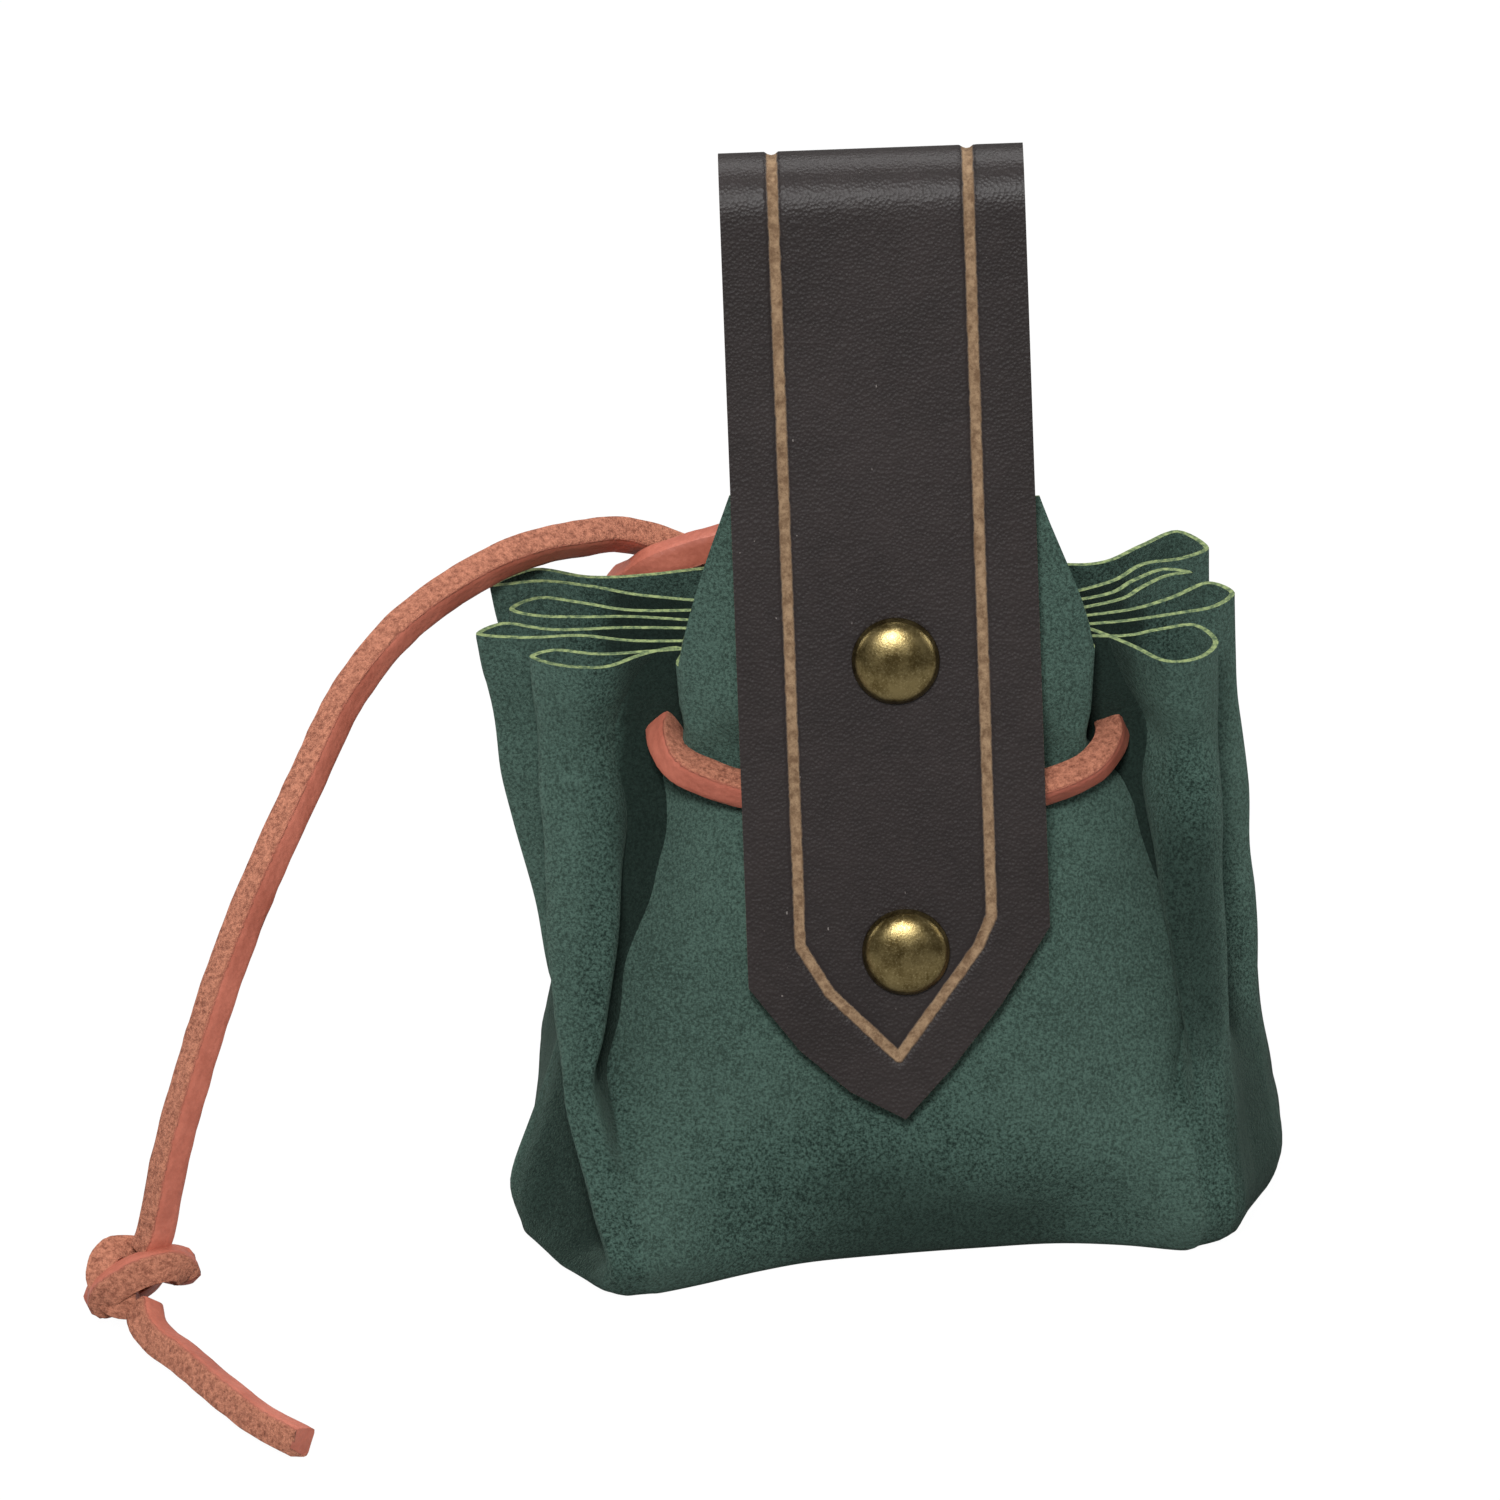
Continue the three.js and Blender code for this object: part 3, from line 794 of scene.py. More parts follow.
    def _key_rings(self) -> dict[float, np.ndarray]:
        """Control places at each key height."""
        rim, belly, foot = self._rim(), self._belly(), self._foot()
        panel = [0, 1, 2, 3, -3, -2, -1]
        rings = {}
        for z in (20.0, 26.0, 33.0, 41.0, 49.0, 56.5, 62.0, 68.0):
            opened = float(np.clip((67.0 - z) / 47.0, 0, 1)) ** 1.2
            ring = rim * (1 - opened) + belly * opened
            pinch = math.exp(-(((z - 56.5) / 5.5) ** 2))
            centre = np.array([1.5, 4.0])
            ring = centre + (ring - centre) * np.array([1 - 0.008 * pinch, 1 - 0.16 * pinch])
            half = float(np.interp(z, [20, 33, 44, 50, 56, 68], [31, 32, 30.6, 27, 22.6, 23.3]))
            tuck = math.exp(-(((z - 55.0) / 9.0) ** 2))
            ring[[5, -5], 1] += 4.4 * tuck
            ring[[6, -6], 1] += 1.4 * tuck
            ring[[3, -3], 0] = (half + 1.2, -half)
            valley_x = np.interp(z, [20, 28, 36, 46, 56, 68], [3.6, 4.6, 3.4, 1.4, -0.2, -0.6])
            ring[[4, -4], 0] = (half + valley_x, -half - 0.4 * valley_x)
            ring[panel, 1] = self._panel_y(ring[panel, 0], np.full(len(panel), z))
            valley_y = np.interp(z, [20, 28, 36, 46, 56, 68], [2.6, 6.8, 9.2, 10.0, 9.0, 5.0])
            ring[[4, -4], 1] = ring[[3, -3], 1] + np.array([valley_y, 0.8 * valley_y])
            rings[z] = ring
        rings[5.5] = foot
        rings[12.5] = belly * 0.5 + foot * 0.5
        panel_low = np.array([0, 1, 2, -2, -1])
        rings[12.5][panel_low, 1] = (-28.9, -28.8, -28.2, -30.2, -29.6)
        rings[12.5][[3, -3], 1] = (-27.4, -31.2)
        rings[1.2] = self._hem()
        rings[0.0] = rings[1.2] * np.array([0.965, 0.965])
        return rings

    def _tops(self, count: int) -> np.ndarray:
        """The height of the sheet's top edge above each control place."""
        half = count // 2
        tops = np.full(count, self.rim_right)
        tops[half + 1 :] = self.rim_left
        tops[half] = (self.rim_left + self.rim_right) / 2
        tops[[0, 1, 2, -1, -2]] = self.tongue_top
        return tops

    def build(self, suede: bpy.types.Material, cut_edge: bpy.types.Material) -> bpy.types.Object:
        """Model the sheet.

        Args:
            suede: The nap's material.
            cut_edge: The cut edge's material.

        Returns:
            The finished piece.
        """
        rings = self._key_rings()
        count = len(rings[20.0])
        columns = count * self.columns_each
        rows = self.floor_rows + self.rows_below_neck + self.rows_above_neck
        piece = grid("suede_pouch", columns, rows)
        share = places_of(piece)
        column = np.rint(share[:, 0] * columns).astype(int) % columns
        row = np.rint(share[:, 1] * rows).astype(int)
        tops = self._closed_curve(self._tops(count)[:, None], columns, straight=True)[:, 0]
        table = np.zeros((rows + 1, columns, 3))
        for index in range(rows + 1):
            table[index] = self._row(index, columns, rings, tops)
        places = table[row, column]
        move_to(piece, places)
        self._store_shade_depths(piece, self._shade_depths(table)[row, column])
        edit(piece, lambda: bpy.ops.mesh.remove_doubles(threshold=0.002))
        turn_outward(piece)
        self._rumple(piece)
        for material in (suede, cut_edge):
            piece.data.materials.append(material)
        modify(piece, "SOLIDIFY", thickness=self.thickness, offset=-1.0, material_offset_rim=1)
        finish_piece(piece, [suede, cut_edge], 60)
        return piece

    def _row(self, index: int, columns: int, rings: dict[float, np.ndarray], tops: np.ndarray) -> np.ndarray:
        """One row of the sheet, from the middle of the base to the top edge.

        Args:
            index: The row's number.
            columns: How many places it has.
            rings: The key rings.
            tops: The top edge's height at each place.

        Returns:
            The row's places.
        """
        if index < self.floor_rows:
            ring = self._closed_curve(rings[0.0], columns)
            share = index / self.floor_rows
            height = 0.5 * (1 - share**2)
            return np.column_stack([ring * share, np.full(columns, height)])
        above_floor = index - self.floor_rows
        if above_floor <= self.rows_below_neck:
            z = self.neck_z * (above_floor / self.rows_below_neck) ** 1.15
            ring = self._closed_curve(self._ring(z, rings), columns)
            return np.column_stack([ring, np.full(columns, z)])
        share = (above_floor - self.rows_below_neck) / self.rows_above_neck
        heights = self.neck_z + (tops - self.neck_z) * share
        row = np.zeros((columns, 3))
        rim_z = self.neck_z + (self.rim_right - self.neck_z) * share
        ring = self._closed_curve(self._ring(rim_z, rings), columns)
        row[:, :2] = ring
        row[:, 2] = heights
        tall = np.clip((tops - self.rim_right) / (self.tongue_top - self.rim_right), 0, 1)
        face = self._panel_y(row[:, 0], heights)
        weight = np.clip(tall * 4, 0, 1)
        row[:, 1] = row[:, 1] * (1 - weight) + face * weight
        return row

    def _shade_depths(self, table: np.ndarray) -> np.ndarray:
        """How deep each place lies between the folds beside it, from 0 on a ridge to 1 in a valley, which
        sets the suede's painted shade.

        Args:
            table: The sheet's places by row and column.

        Returns:
            The depths by row and column.
        """
        plan = table[:, :, :2]
        reach = 3 * self.columns_each
        around = sum(np.roll(plan, step, axis=1) for step in range(-reach, reach + 1)) / (2 * reach + 1)
        outward = around - np.array([1.0, 4.0])
        outward /= np.maximum(np.linalg.norm(outward, axis=2, keepdims=True), 1e-6)
        relief = ((plan - around) * outward).sum(axis=2)
        relief = sum(np.roll(relief, step, axis=1) for step in (-2, -1, 0, 1, 2)) / 5
        along = np.roll(plan, -2, axis=1) - np.roll(plan, 2, axis=1)
        sideways = np.abs(along[:, :, 1]) / np.maximum(np.linalg.norm(along, axis=2), 1e-6)
        height = table[:, :, 2]
        low = np.clip((26 - height) / 14, 0, 1)
        # Low walls that face sideways get extra painted shade.
        side_shade = np.clip((sideways - 0.45) / 0.4, 0, 1) * low
        depths = np.clip(0.48 - relief / 6.0 + 0.26 * side_shade, 0, 1)
        return np.maximum(depths, self._painted_shade_zones(height))

    def _painted_shade_zones(self, height: np.ndarray) -> np.ndarray:
        """Two zones of painted shade on the suede, low on the left side and on the right front fold.

        Their places are given. They don't follow from how the sheet is folded.

        Args:
            height: The sheet's heights by row and column.

        Returns:
            How dark each place is at least, on the scale of the depths.
        """
        count = height.shape[1] // self.columns_each
        control = np.arange(height.shape[1]) / self.columns_each
        control = np.where(control > count // 2, control - count, control)[None, :]
        left = np.exp(-(((control + 13.5) / 4.5) ** 4)) * np.clip((27 - height) / 8, 0, 1)
        right = np.exp(-(((control - 6.0) / 2.4) ** 4)) * np.exp(-(((height - 36) / 21) ** 4))
        return np.maximum(0.66 * left, 0.62 * right)

    @staticmethod
    def _store_shade_depths(piece: bpy.types.Object, depths: np.ndarray) -> None:
        """Keep the depths on the piece, for its material's painted shade."""
        layer = piece.data.attributes.new("shade_mask", "FLOAT", "POINT")
        layer.data.foreach_set("value", np.ascontiguousarray(depths, dtype=np.float32))

    @staticmethod
    def _closed_curve(points: np.ndarray, columns: int, straight: bool = False) -> np.ndarray:
        """A closed curve through control places, with the same share of it between each two.

        Args:
            points: The control places.
            columns: How many places to return.
            straight: Whether to join them by straight lines.

        Returns:
            The curve's places.
        """
        count = len(points)
        t = np.arange(columns) / columns * count
        i = np.floor(t).astype(int)
        f = (t - i)[:, None]
        p0, p1, p2, p3 = (points[(i + k) % count] for k in (-1, 0, 1, 2))
        if straight:
            return p1 + (p2 - p1) * f
        return 0.5 * (
            2 * p1
            + (p2 - p0) * f
            + (2 * p0 - 5 * p1 + 4 * p2 - p3) * f**2
            + (3 * p1 - p0 - 3 * p2 + p3) * f**3
        )

    @staticmethod
    def _rumple(piece: bpy.types.Object) -> None:
        """Give the sheet soft hand-worn waves, none on its base."""
        mesh = piece.data
        places = places_of(piece)
        for vertex in mesh.vertices:
            co, normal = vertex.co, vertex.normal
            wave = noise.noise(Vector((co.x * 0.075, co.y * 0.075, co.z * 0.05)))
            ripple = noise.noise(Vector((co.x * 0.21 + 9, co.y * 0.21, co.z * 0.12)))
            high = min(1.0, max(0.0, (co.z - 3) / 10)) * (1 - 0.75 * min(1.0, max(0.0, (co.z - 46) / 10)))
            places[vertex.index] += np.array(normal) * (wave * 0.75 + ripple * 0.3) * high
        move_to(piece, places)


# ---------------------------------------------------------------- the strap


@dataclass
class Strap:
    """The leather strap: a pointed front leg, a belt loop and a leg behind the suede."""

    left: float = -18.2
    right: float = 16.6
    thickness: float = 2.2
    tip: tuple[float, float] = (-0.7, -19.7)
    left_chamfer: Sequence[tuple[float, float]] = ((-18.2, -3.7), (-12.6, -11.2), (-6.9, -16.3))
    right_chamfer: Sequence[tuple[float, float]] = ((16.6, 2.3), (10.8, -6.5), (4.8, -13.9))
    bend_up: float = 86.1
    bend_radius: float = 5.1
    inner_depth: float = 5.8
    inner_end: float = -9.0
    tongue_up: float = 54.4
    groove_width: float = 1.25
    groove_depth: float = 0.4
    groove_left: Sequence[tuple[float, float]] = ((-12.1, 210.0), (-12.1, 1.0), (-8.9, -4.6), (-1.3, -12.4))
    groove_right: Sequence[tuple[float, float]] = ((10.5, 210.0), (9.95, 3.8), (8.3, 0.2), (-1.3, -12.4))

    def path(self) -> np.ndarray:
        """The middle of the leather from the tip, over the loop, to the inner leg's end: depth and up."""
        half = self.thickness / 2
        line = [(half, up) for up in np.arange(self.tip[1], self.bend_up - 0.1, 1.0)]
        for angle in np.linspace(math.pi, 0, 25):
            depth = half + self.bend_radius * (1 + math.cos(angle))
            line.append((depth, self.bend_up + self.bend_radius * math.sin(angle)))
        start = np.array([half + 2 * self.bend_radius, self.bend_up])
        end = np.array([self.inner_depth, self.tongue_up])
        hands = (start + np.array([0, -14.0]), end + np.array([0, 12.0]))
        for t in np.linspace(0.04, 1, 24):
            place = (
                (1 - t) ** 3 * start
                + 3 * (1 - t) ** 2 * t * hands[0]
                + 3 * (1 - t) * t**2 * hands[1]
                + t**3 * end
            )
            line.append(tuple(place))
        for up in np.arange(self.tongue_up - 1, self.inner_end - 0.1, -1.0):
            line.append((self.inner_depth + float(PLANE.dent(up)), up))
        return np.array(line)

    def _groove_distance(self, x: np.ndarray, y: np.ndarray) -> np.ndarray:
        """The distance of flat places from the nearest groove line."""
        best = np.full(x.shape, 1e9)
        for line in (self.groove_left, self.groove_right):
            for (ax, ay), (bx, by) in zip(line, line[1:]):
                dx, dy = bx - ax, by - ay
                t = np.clip(((x - ax) * dx + (y - ay) * dy) / (dx * dx + dy * dy), 0, 1)
                best = np.minimum(best, np.hypot(x - ax - t * dx, y - ay - t * dy))
        return best

    def groove_mask(self, shader: Shader, flat: Socket) -> Socket:
        """The grooves as a mask on the flat map, which holds tenths of a metre.

        Args:
            shader: The material's shader.
            flat: The piece's flat map.

        Returns:
            1 in a groove and 0 outside.
        """
        x, y = shader.part(flat, 0) * 100.0, shader.part(flat, 1) * 100.0
        wobble = (shader.noise(shader.place(), 900, 2, 0.6) - 0.5) * 0.35
        nearest: Optional[Socket] = None
        for line in (self.groove_left, self.groove_right):
            for (ax, ay), (bx, by) in zip(line, line[1:]):
                dx, dy = bx - ax, by - ay
                size = dx * dx + dy * dy
                t = (((x - ax) * (dx / size)) + ((y - ay) * (dy / size))).most(0.0).least(1.0)
                across, up = x - ax - t * dx, y - ay - t * dy
                away = (across * across + up * up).root()
                nearest = away if nearest is None else nearest.least(away)
        half = self.groove_width / 2
        return 1 - (nearest + wobble).step(half - 0.16, half + 0.12)

    def build(self, materials: Sequence[bpy.types.Material]) -> bpy.types.Object:
        """Model the strap flat, cut its point, tool its grooves, and fold it.

        Args:
            materials: Grain, flesh and edge.

        Returns:
            The finished piece.
        """
        line = self.path()
        steps = np.linalg.norm(np.diff(line, axis=0), axis=1)
        along = np.concatenate([[0], np.cumsum(steps)]) + self.tip[1]
        length = along[-1] - along[0]
        width = self.right - self.left
        piece = grid("strap_leather", 86, 250)
        share = places_of(piece)
        flat = np.zeros_like(share)
        flat[:, 0] = self.left + share[:, 0] * width
        point_rows = 0.2
        fine_length = 26.0
        low = np.clip(share[:, 1] / point_rows, 0, 1) * fine_length
        high = np.clip((share[:, 1] - point_rows) / (1 - point_rows), 0, 1) * (length - fine_length)
        flat[:, 1] = self.tip[1] + low + high
        move_to(piece, flat)
        self._cut_point(piece)
        flat = places_of(piece)
        write_map(piece, flat * 0.01)
        for material in materials:
            piece.data.materials.append(material)
        modify(
            piece, "SOLIDIFY", thickness=self.thickness, offset=0.0, material_offset=1, material_offset_rim=2
        )
        places = places_of(piece)
        away = self._groove_distance(places[:, 0], places[:, 1])
        half = self.groove_width / 2 + 0.15
        tooled = np.clip(1 - (away / half) ** 2, 0, 1) * self.groove_depth
        front = places[:, 2] > 0
        places[:, 2] -= np.where(front, tooled, 0)
        move_to(piece, places)
        move_to(piece, self._folded(places, along, line))
        finish_piece(piece, materials, 50)
        modify(piece, "BEVEL", width=0.18 * MM, segments=2, limit_method="ANGLE",
               angle_limit=math.radians(50), material=2)
        return piece

    def _cut_point(self, piece: bpy.types.Object) -> None:
        """Cut the strap's point along its chamfers."""
        for chamfer, sign in ((self.left_chamfer, -1), (self.right_chamfer, 1)):
            corners = [*chamfer, self.tip]
            for (ax, ay), (bx, by) in zip(corners, corners[1:]):
                normal = Vector((sign * abs(by - ay), -abs(bx - ax), 0)).normalized()

                def slice_off(place: tuple = (ax, ay, 0), out: Vector = normal) -> None:
                    """Cut the corner beyond one straight edge away."""
                    bpy.ops.mesh.bisect(plane_co=place, plane_no=out, clear_outer=True, threshold=0.0001)

                edit(piece, slice_off)

    @staticmethod
    def _folded(places: np.ndarray, along: np.ndarray, line: np.ndarray) -> np.ndarray:
        """Fold flat leather along its path.

        Args:
            places: Across, along and out of the flat leather.
            along: The path's length at each of its places.
            line: The path's places, depth and up.

        Returns:
            World places in millimetres.
        """
        tangent = np.gradient(line, along, axis=0)
        tangent /= np.linalg.norm(tangent, axis=1)[:, None]
        depth = np.interp(places[:, 1], along, line[:, 0])
        up = np.interp(places[:, 1], along, line[:, 1])
        t_depth = np.interp(places[:, 1], along, tangent[:, 0])
        t_up = np.interp(places[:, 1], along, tangent[:, 1])
        out = places[:, 2]
        return PLANE.to_world(places[:, 0], up + out * t_depth, -(depth - out * t_up))


# ---------------------------------------------------------------- the rivets


@dataclass
class Rivets:
    """Two double-cap rivets: a domed cap in front, a post and a flat cap behind."""

    spacing: float = 34.0
    cap_radius: float = 5.05
    dome: float = 1.9
    rolled_edge: float = 0.62
    behind: float = -7.2
    head_radius: float = 4.2

    def _spun(self, name: str, profile: Sequence[tuple[float, float]], up: float) -> bpy.types.Object:
        """A turned piece from a profile of radius and height, spun about its axis.

        Args:
            name: The piece's name.
            profile: Points of radius and height, from the axis to the axis.
            up: Where on the strap it stands.

        Returns:
            The piece, in millimetres.
        """
        deselect_all()
        bpy.ops.mesh.primitive_plane_add(size=1, location=(0, 0, 0))
        piece = named(name)

        def draw_and_spin() -> None:
            """Draw the profile by extruding one point, then spin it."""
            bpy.ops.mesh.merge(type="CENTER")
            bpy.ops.transform.translate(value=(profile[0][0], 0, profile[0][1]))
            for (from_r, from_z), (to_r, to_z) in zip(profile, profile[1:]):
                step = (to_r - from_r, 0, to_z - from_z)
                bpy.ops.mesh.extrude_region_move(TRANSFORM_OT_translate={"value": step})
            bpy.ops.mesh.select_all(action="SELECT")
            bpy.ops.mesh.spin(steps=72, angle=2 * math.pi, center=(0, 0, 0), axis=(0, 0, 1))
            bpy.ops.mesh.select_all(action="SELECT")
            bpy.ops.mesh.remove_doubles(threshold=0.001)
            bpy.ops.mesh.normals_make_consistent(inside=False)

        edit(piece, draw_and_spin)
        places = places_of(piece)
        move_to(piece, PLANE.to_world(places[:, 0], places[:, 1] + up, places[:, 2]))
        return piece

    def cap(self, name: str, up: float, brass: bpy.types.Material) -> bpy.types.Object:
        """A front cap with its rolled edge."""
        rim = self.cap_radius
        profile = [(0.0, 0.02), (rim - 0.5, 0.02), (rim - 0.12, 0.12), (rim, 0.4)]
        shoulder = self.cap_radius - 0.1
        profile.append((shoulder, self.rolled_edge))
        for angle in np.linspace(0.12, math.pi / 2, 16)[:-1]:
            radius = (shoulder - 0.12) * math.cos(angle) ** 0.9
            profile.append((radius, self.rolled_edge + self.dome * math.sin(angle) ** 1.05))
        profile.append((0.0, self.rolled_edge + self.dome))
        return finish_piece(self._spun(name, profile, up), [brass], 60)

    def post(self, name: str, up: float, brass: bpy.types.Material) -> bpy.types.Object:
        """A post with its flat cap behind the inner leg."""
        radius, back = self.head_radius, self.behind
        profile = [(0.0, back - 1.2), (radius - 0.8, back - 1.1),
                   (radius - 0.2, back - 0.8), (radius, back - 0.4),
                   (radius - 0.1, back), (1.5, back), (1.5, 0.0), (0.0, 0.0)]
        return finish_piece(self._spun(name, profile, up), [brass], 50)


# ---------------------------------------------------------------- the lace


LEFT_RUN: Sequence[Point] = ((-24.8, -2, 56.5), (-25, -0.2, 56.6), (-28.2, 3.2, 56.9), (-30.4, 8, 57.3),
                             (-30.6, 15, 57.6), (-30.6, 18.4, 57.7))
RIGHT_RUN: Sequence[Point] = ((26.6, -2, 56.5), (26.8, -0.2, 56.6), (29.4, 3.2, 56.9), (31.4, 8, 57.3),
                              (31.6, 15, 57.6), (31.6, 18.2, 57.8))
BACK_RUN: Sequence[Point] = ((31.6, 18.8, 57.8), (31.2, 20.6, 58), (27.6, 23.2, 58.7), (20, 23.4, 59.6),
                             (8, 22.8, 60.3), (-6, 23.6, 60.4), (-15.7, 24.3, 61.8))
FREE_END: Sequence[Point] = ((-16.3, 24.4, 62), (-22, 24.2, 63.6), (-26.2, 24.1, 65.3), (-30, 22.5, 67.1),
                             (-34, 19.1, 68.6), (-40, 14.4, 69.8), (-46, 10, 69.3), (-54.5, 3, 66.4),
                             (-61, -5, 61.8), (-65.9, -13, 54.6), (-71.1, -21, 45.9), (-75.1, -27, 37.4),
                             (-78.6, -33, 28.2), (-81.4, -37.7, 19), (-83.2, -40.4, 10.6))
FREE_KNOT: Point = (-85.2, -41.6, 4.9)
FREE_TAIL: Sequence[Point] = ((-84, -47.4, 2.6), (-82.6, -50, 2.1), (-80, -53.6, 2.2), (-74.9, -61.3, 2.2),
                              (-70.3, -67.6, 2.2), (-65.8, -72, 2.2))
HIDDEN_END: Sequence[Point] = ((-30.6, 19.2, 57.8), (-30.6, 21.2, 58.6), (-30, 21.6, 61), (-28.4, 19.8, 63.2),
                               (-26, 18.8, 65.5), (-22, 19.2, 66.9), (-17.5, 20.2, 67.7), (-11, 22, 68.6),
                               (-4, 24.4, 68.2), (2.5, 27.4, 65.4), (7.5, 29.8, 60), (11, 31.2, 50),
                               (13.4, 33.8, 38), (15, 37, 26), (16.2, 39.8, 14), (18, 43, 5.8),
                               (21.5, 47, 2.4), (26, 52, 2.2), (28.6, 59, 2.2), (25.4, 65.6, 2.2),
                               (17.6, 68.4, 2.2), (9, 66.8, 2.2), (0.6, 62.8, 2.2), (-6.4, 59.4, 3.2))
HIDDEN_KNOT: Point = (-12.6, 56.6, 4.9)
HIDDEN_TAIL: Sequence[Point] = ((-18.8, 54, 2.4), (-24, 52.2, 2.2), (-31, 50.2, 2.2), (-38.6, 49.4, 2.2))
FRONT_SPAN: Sequence[Point] = ((-24.8, -2.9, 56.5), (-24.7, -6.3, 56.2), (-23.1, -10.1, 55.2),
                               (-19.4, -12.2, 54.3), (-14, -13.2, 53.3), (-4, -13.3, 52.9), (6, -13.3, 52.9),
                               (16, -13.2, 53.2), (21, -12.3, 54.2), (24.6, -10.1, 55.2), (26.5, -6.3, 56.2),
                               (26.6, -2.9, 56.5))


@dataclass
class Lace:
    """The square leather lace."""

    width: float = 3.45
    around: int = 32
    spacing: float = 0.9

    def _section(self) -> np.ndarray:
        """Places round the rounded square section."""
        angles = np.arange(self.around) / self.around * 2 * math.pi
        half, power = self.width / 2, 7.0
        c, s = np.cos(angles), np.sin(angles)
        size = (np.abs(c) ** power + np.abs(s) ** power) ** (-1 / power)
        return np.column_stack([c * size * half, s * size * half])

    def strand(
        self,
        name: str,
        points: Sequence[Point],
        hide: bpy.types.Material,
        turn: float = 0.0,
        twist: float = 0.0,
        facing: Point = (0.0, -0.866, 0.5),
        width: float = 0.0,
        spacing: float = 0.0,
    ) -> tuple[bpy.types.Object, np.ndarray]:
        """A stretch of lace along a route.

        Args:
            name: The piece's name.
            points: The route.
            hide: The lace's material.
            turn: How far the section is turned at the start.
            twist: How far it turns along the whole stretch.
            facing: The way the section's own x axis keeps to along the route.
            width: The section's width, or 0 for the lace's own.
            spacing: The distance between its rows, or 0 for the lace's own.

        Returns:
            The piece, and its route's places in metres.
        """
        line = curve_through(points, spacing or self.spacing)
        tangent = np.gradient(line, axis=0)
        tangent /= np.linalg.norm(tangent, axis=1)[:, None]
        side = np.array(facing, dtype=float)
        sides = side - tangent * (tangent @ side)[:, None]
        sides /= np.linalg.norm(sides, axis=1)[:, None]
        others = np.cross(tangent, sides)
        rows, columns = len(line) - 1, self.around
        piece = grid(name, columns, rows)
        share = places_of(piece)
        column = np.rint(share[:, 0] * columns).astype(int) % columns
        row = np.rint(share[:, 1] * rows).astype(int)
        section = self._section()[column] * ((width or self.width) / self.width)
        angle = turn + twist * row / rows
        across = section[:, 0] * np.cos(angle) - section[:, 1] * np.sin(angle)
        up = section[:, 0] * np.sin(angle) + section[:, 1] * np.cos(angle)
        places = line[row] + sides[row] * across[:, None] + others[row] * up[:, None]
        uneven = np.array([1 + 0.05 * noise.noise(Vector(place) * 0.45) for place in places])
        places = line[row] + (places - line[row]) * uneven[:, None]
        flat = share.copy()
        flat[:, 1] *= length_of(line) / 100
        write_map(piece, flat)
        move_to(piece, places)

        def close() -> None:
            """Join the seam and close the two cut ends."""
            bpy.ops.mesh.remove_doubles(threshold=0.001)
            bpy.ops.mesh.select_all(action="DESELECT")
            bpy.ops.mesh.select_mode(type="EDGE")
            bpy.ops.mesh.select_non_manifold()
            bpy.ops.mesh.fill_holes(sides=0)
            bpy.ops.mesh.select_mode(type="VERT")
            bpy.ops.mesh.select_all(action="SELECT")
            bpy.ops.mesh.normals_make_consistent(inside=False)

        edit(piece, close)
        finish_piece(piece, [hide], 48)
        return piece, line * MM

    def knot(
        self, name: str, place: Point, enters: Point, leaves: Point, out: Point, hide: bpy.types.Material
    ) -> bpy.types.Object:
        """A tight overhand knot between two stretches.

        Args:
            name: The piece's name.
            place: Its middle.
            enters: Where the lace comes in.
            leaves: Where the tail goes on.
            out: The way its outer turn faces.
            hide: The lace's material.

        Returns:
            The piece.
        """
        turns = [(1.3, 2.6, 0.6), (0.9, 0.8, -0.6), (-1.4, -1.2, -1.6), (-3.6, -2.5, -0.2), (-3.4, -1.3, 2.0),
                 (0.2, 1.3, 3.1), (3.6, 2.4, 2.3), (4.9, 2.0, 0.4), (3.4, 1.9, -1.7), (0.0, 2.9, -2.4),
                 (-3.2, 2.7, -1.0), (-3.9, 0.2, 0.6), (-2.3, -2.2, 1.4), (0.2, -2.3, 1.7)]
        middle, face = np.array(place, dtype=float), np.array(out, dtype=float)
        up = np.array(enters) - np.array(leaves)
        up -= face * float(up @ face)
        up /= np.linalg.norm(up)
        across = np.cross(up, face)
        inner = [tuple(middle + across * a + up * b + face * c) for a, b, c in turns]
        piece, _ = self.strand(name, inner, hide, turn=0.25, width=3.7, spacing=0.45, facing=out)
        return piece


# ---------------------------------------------------------------- the studio


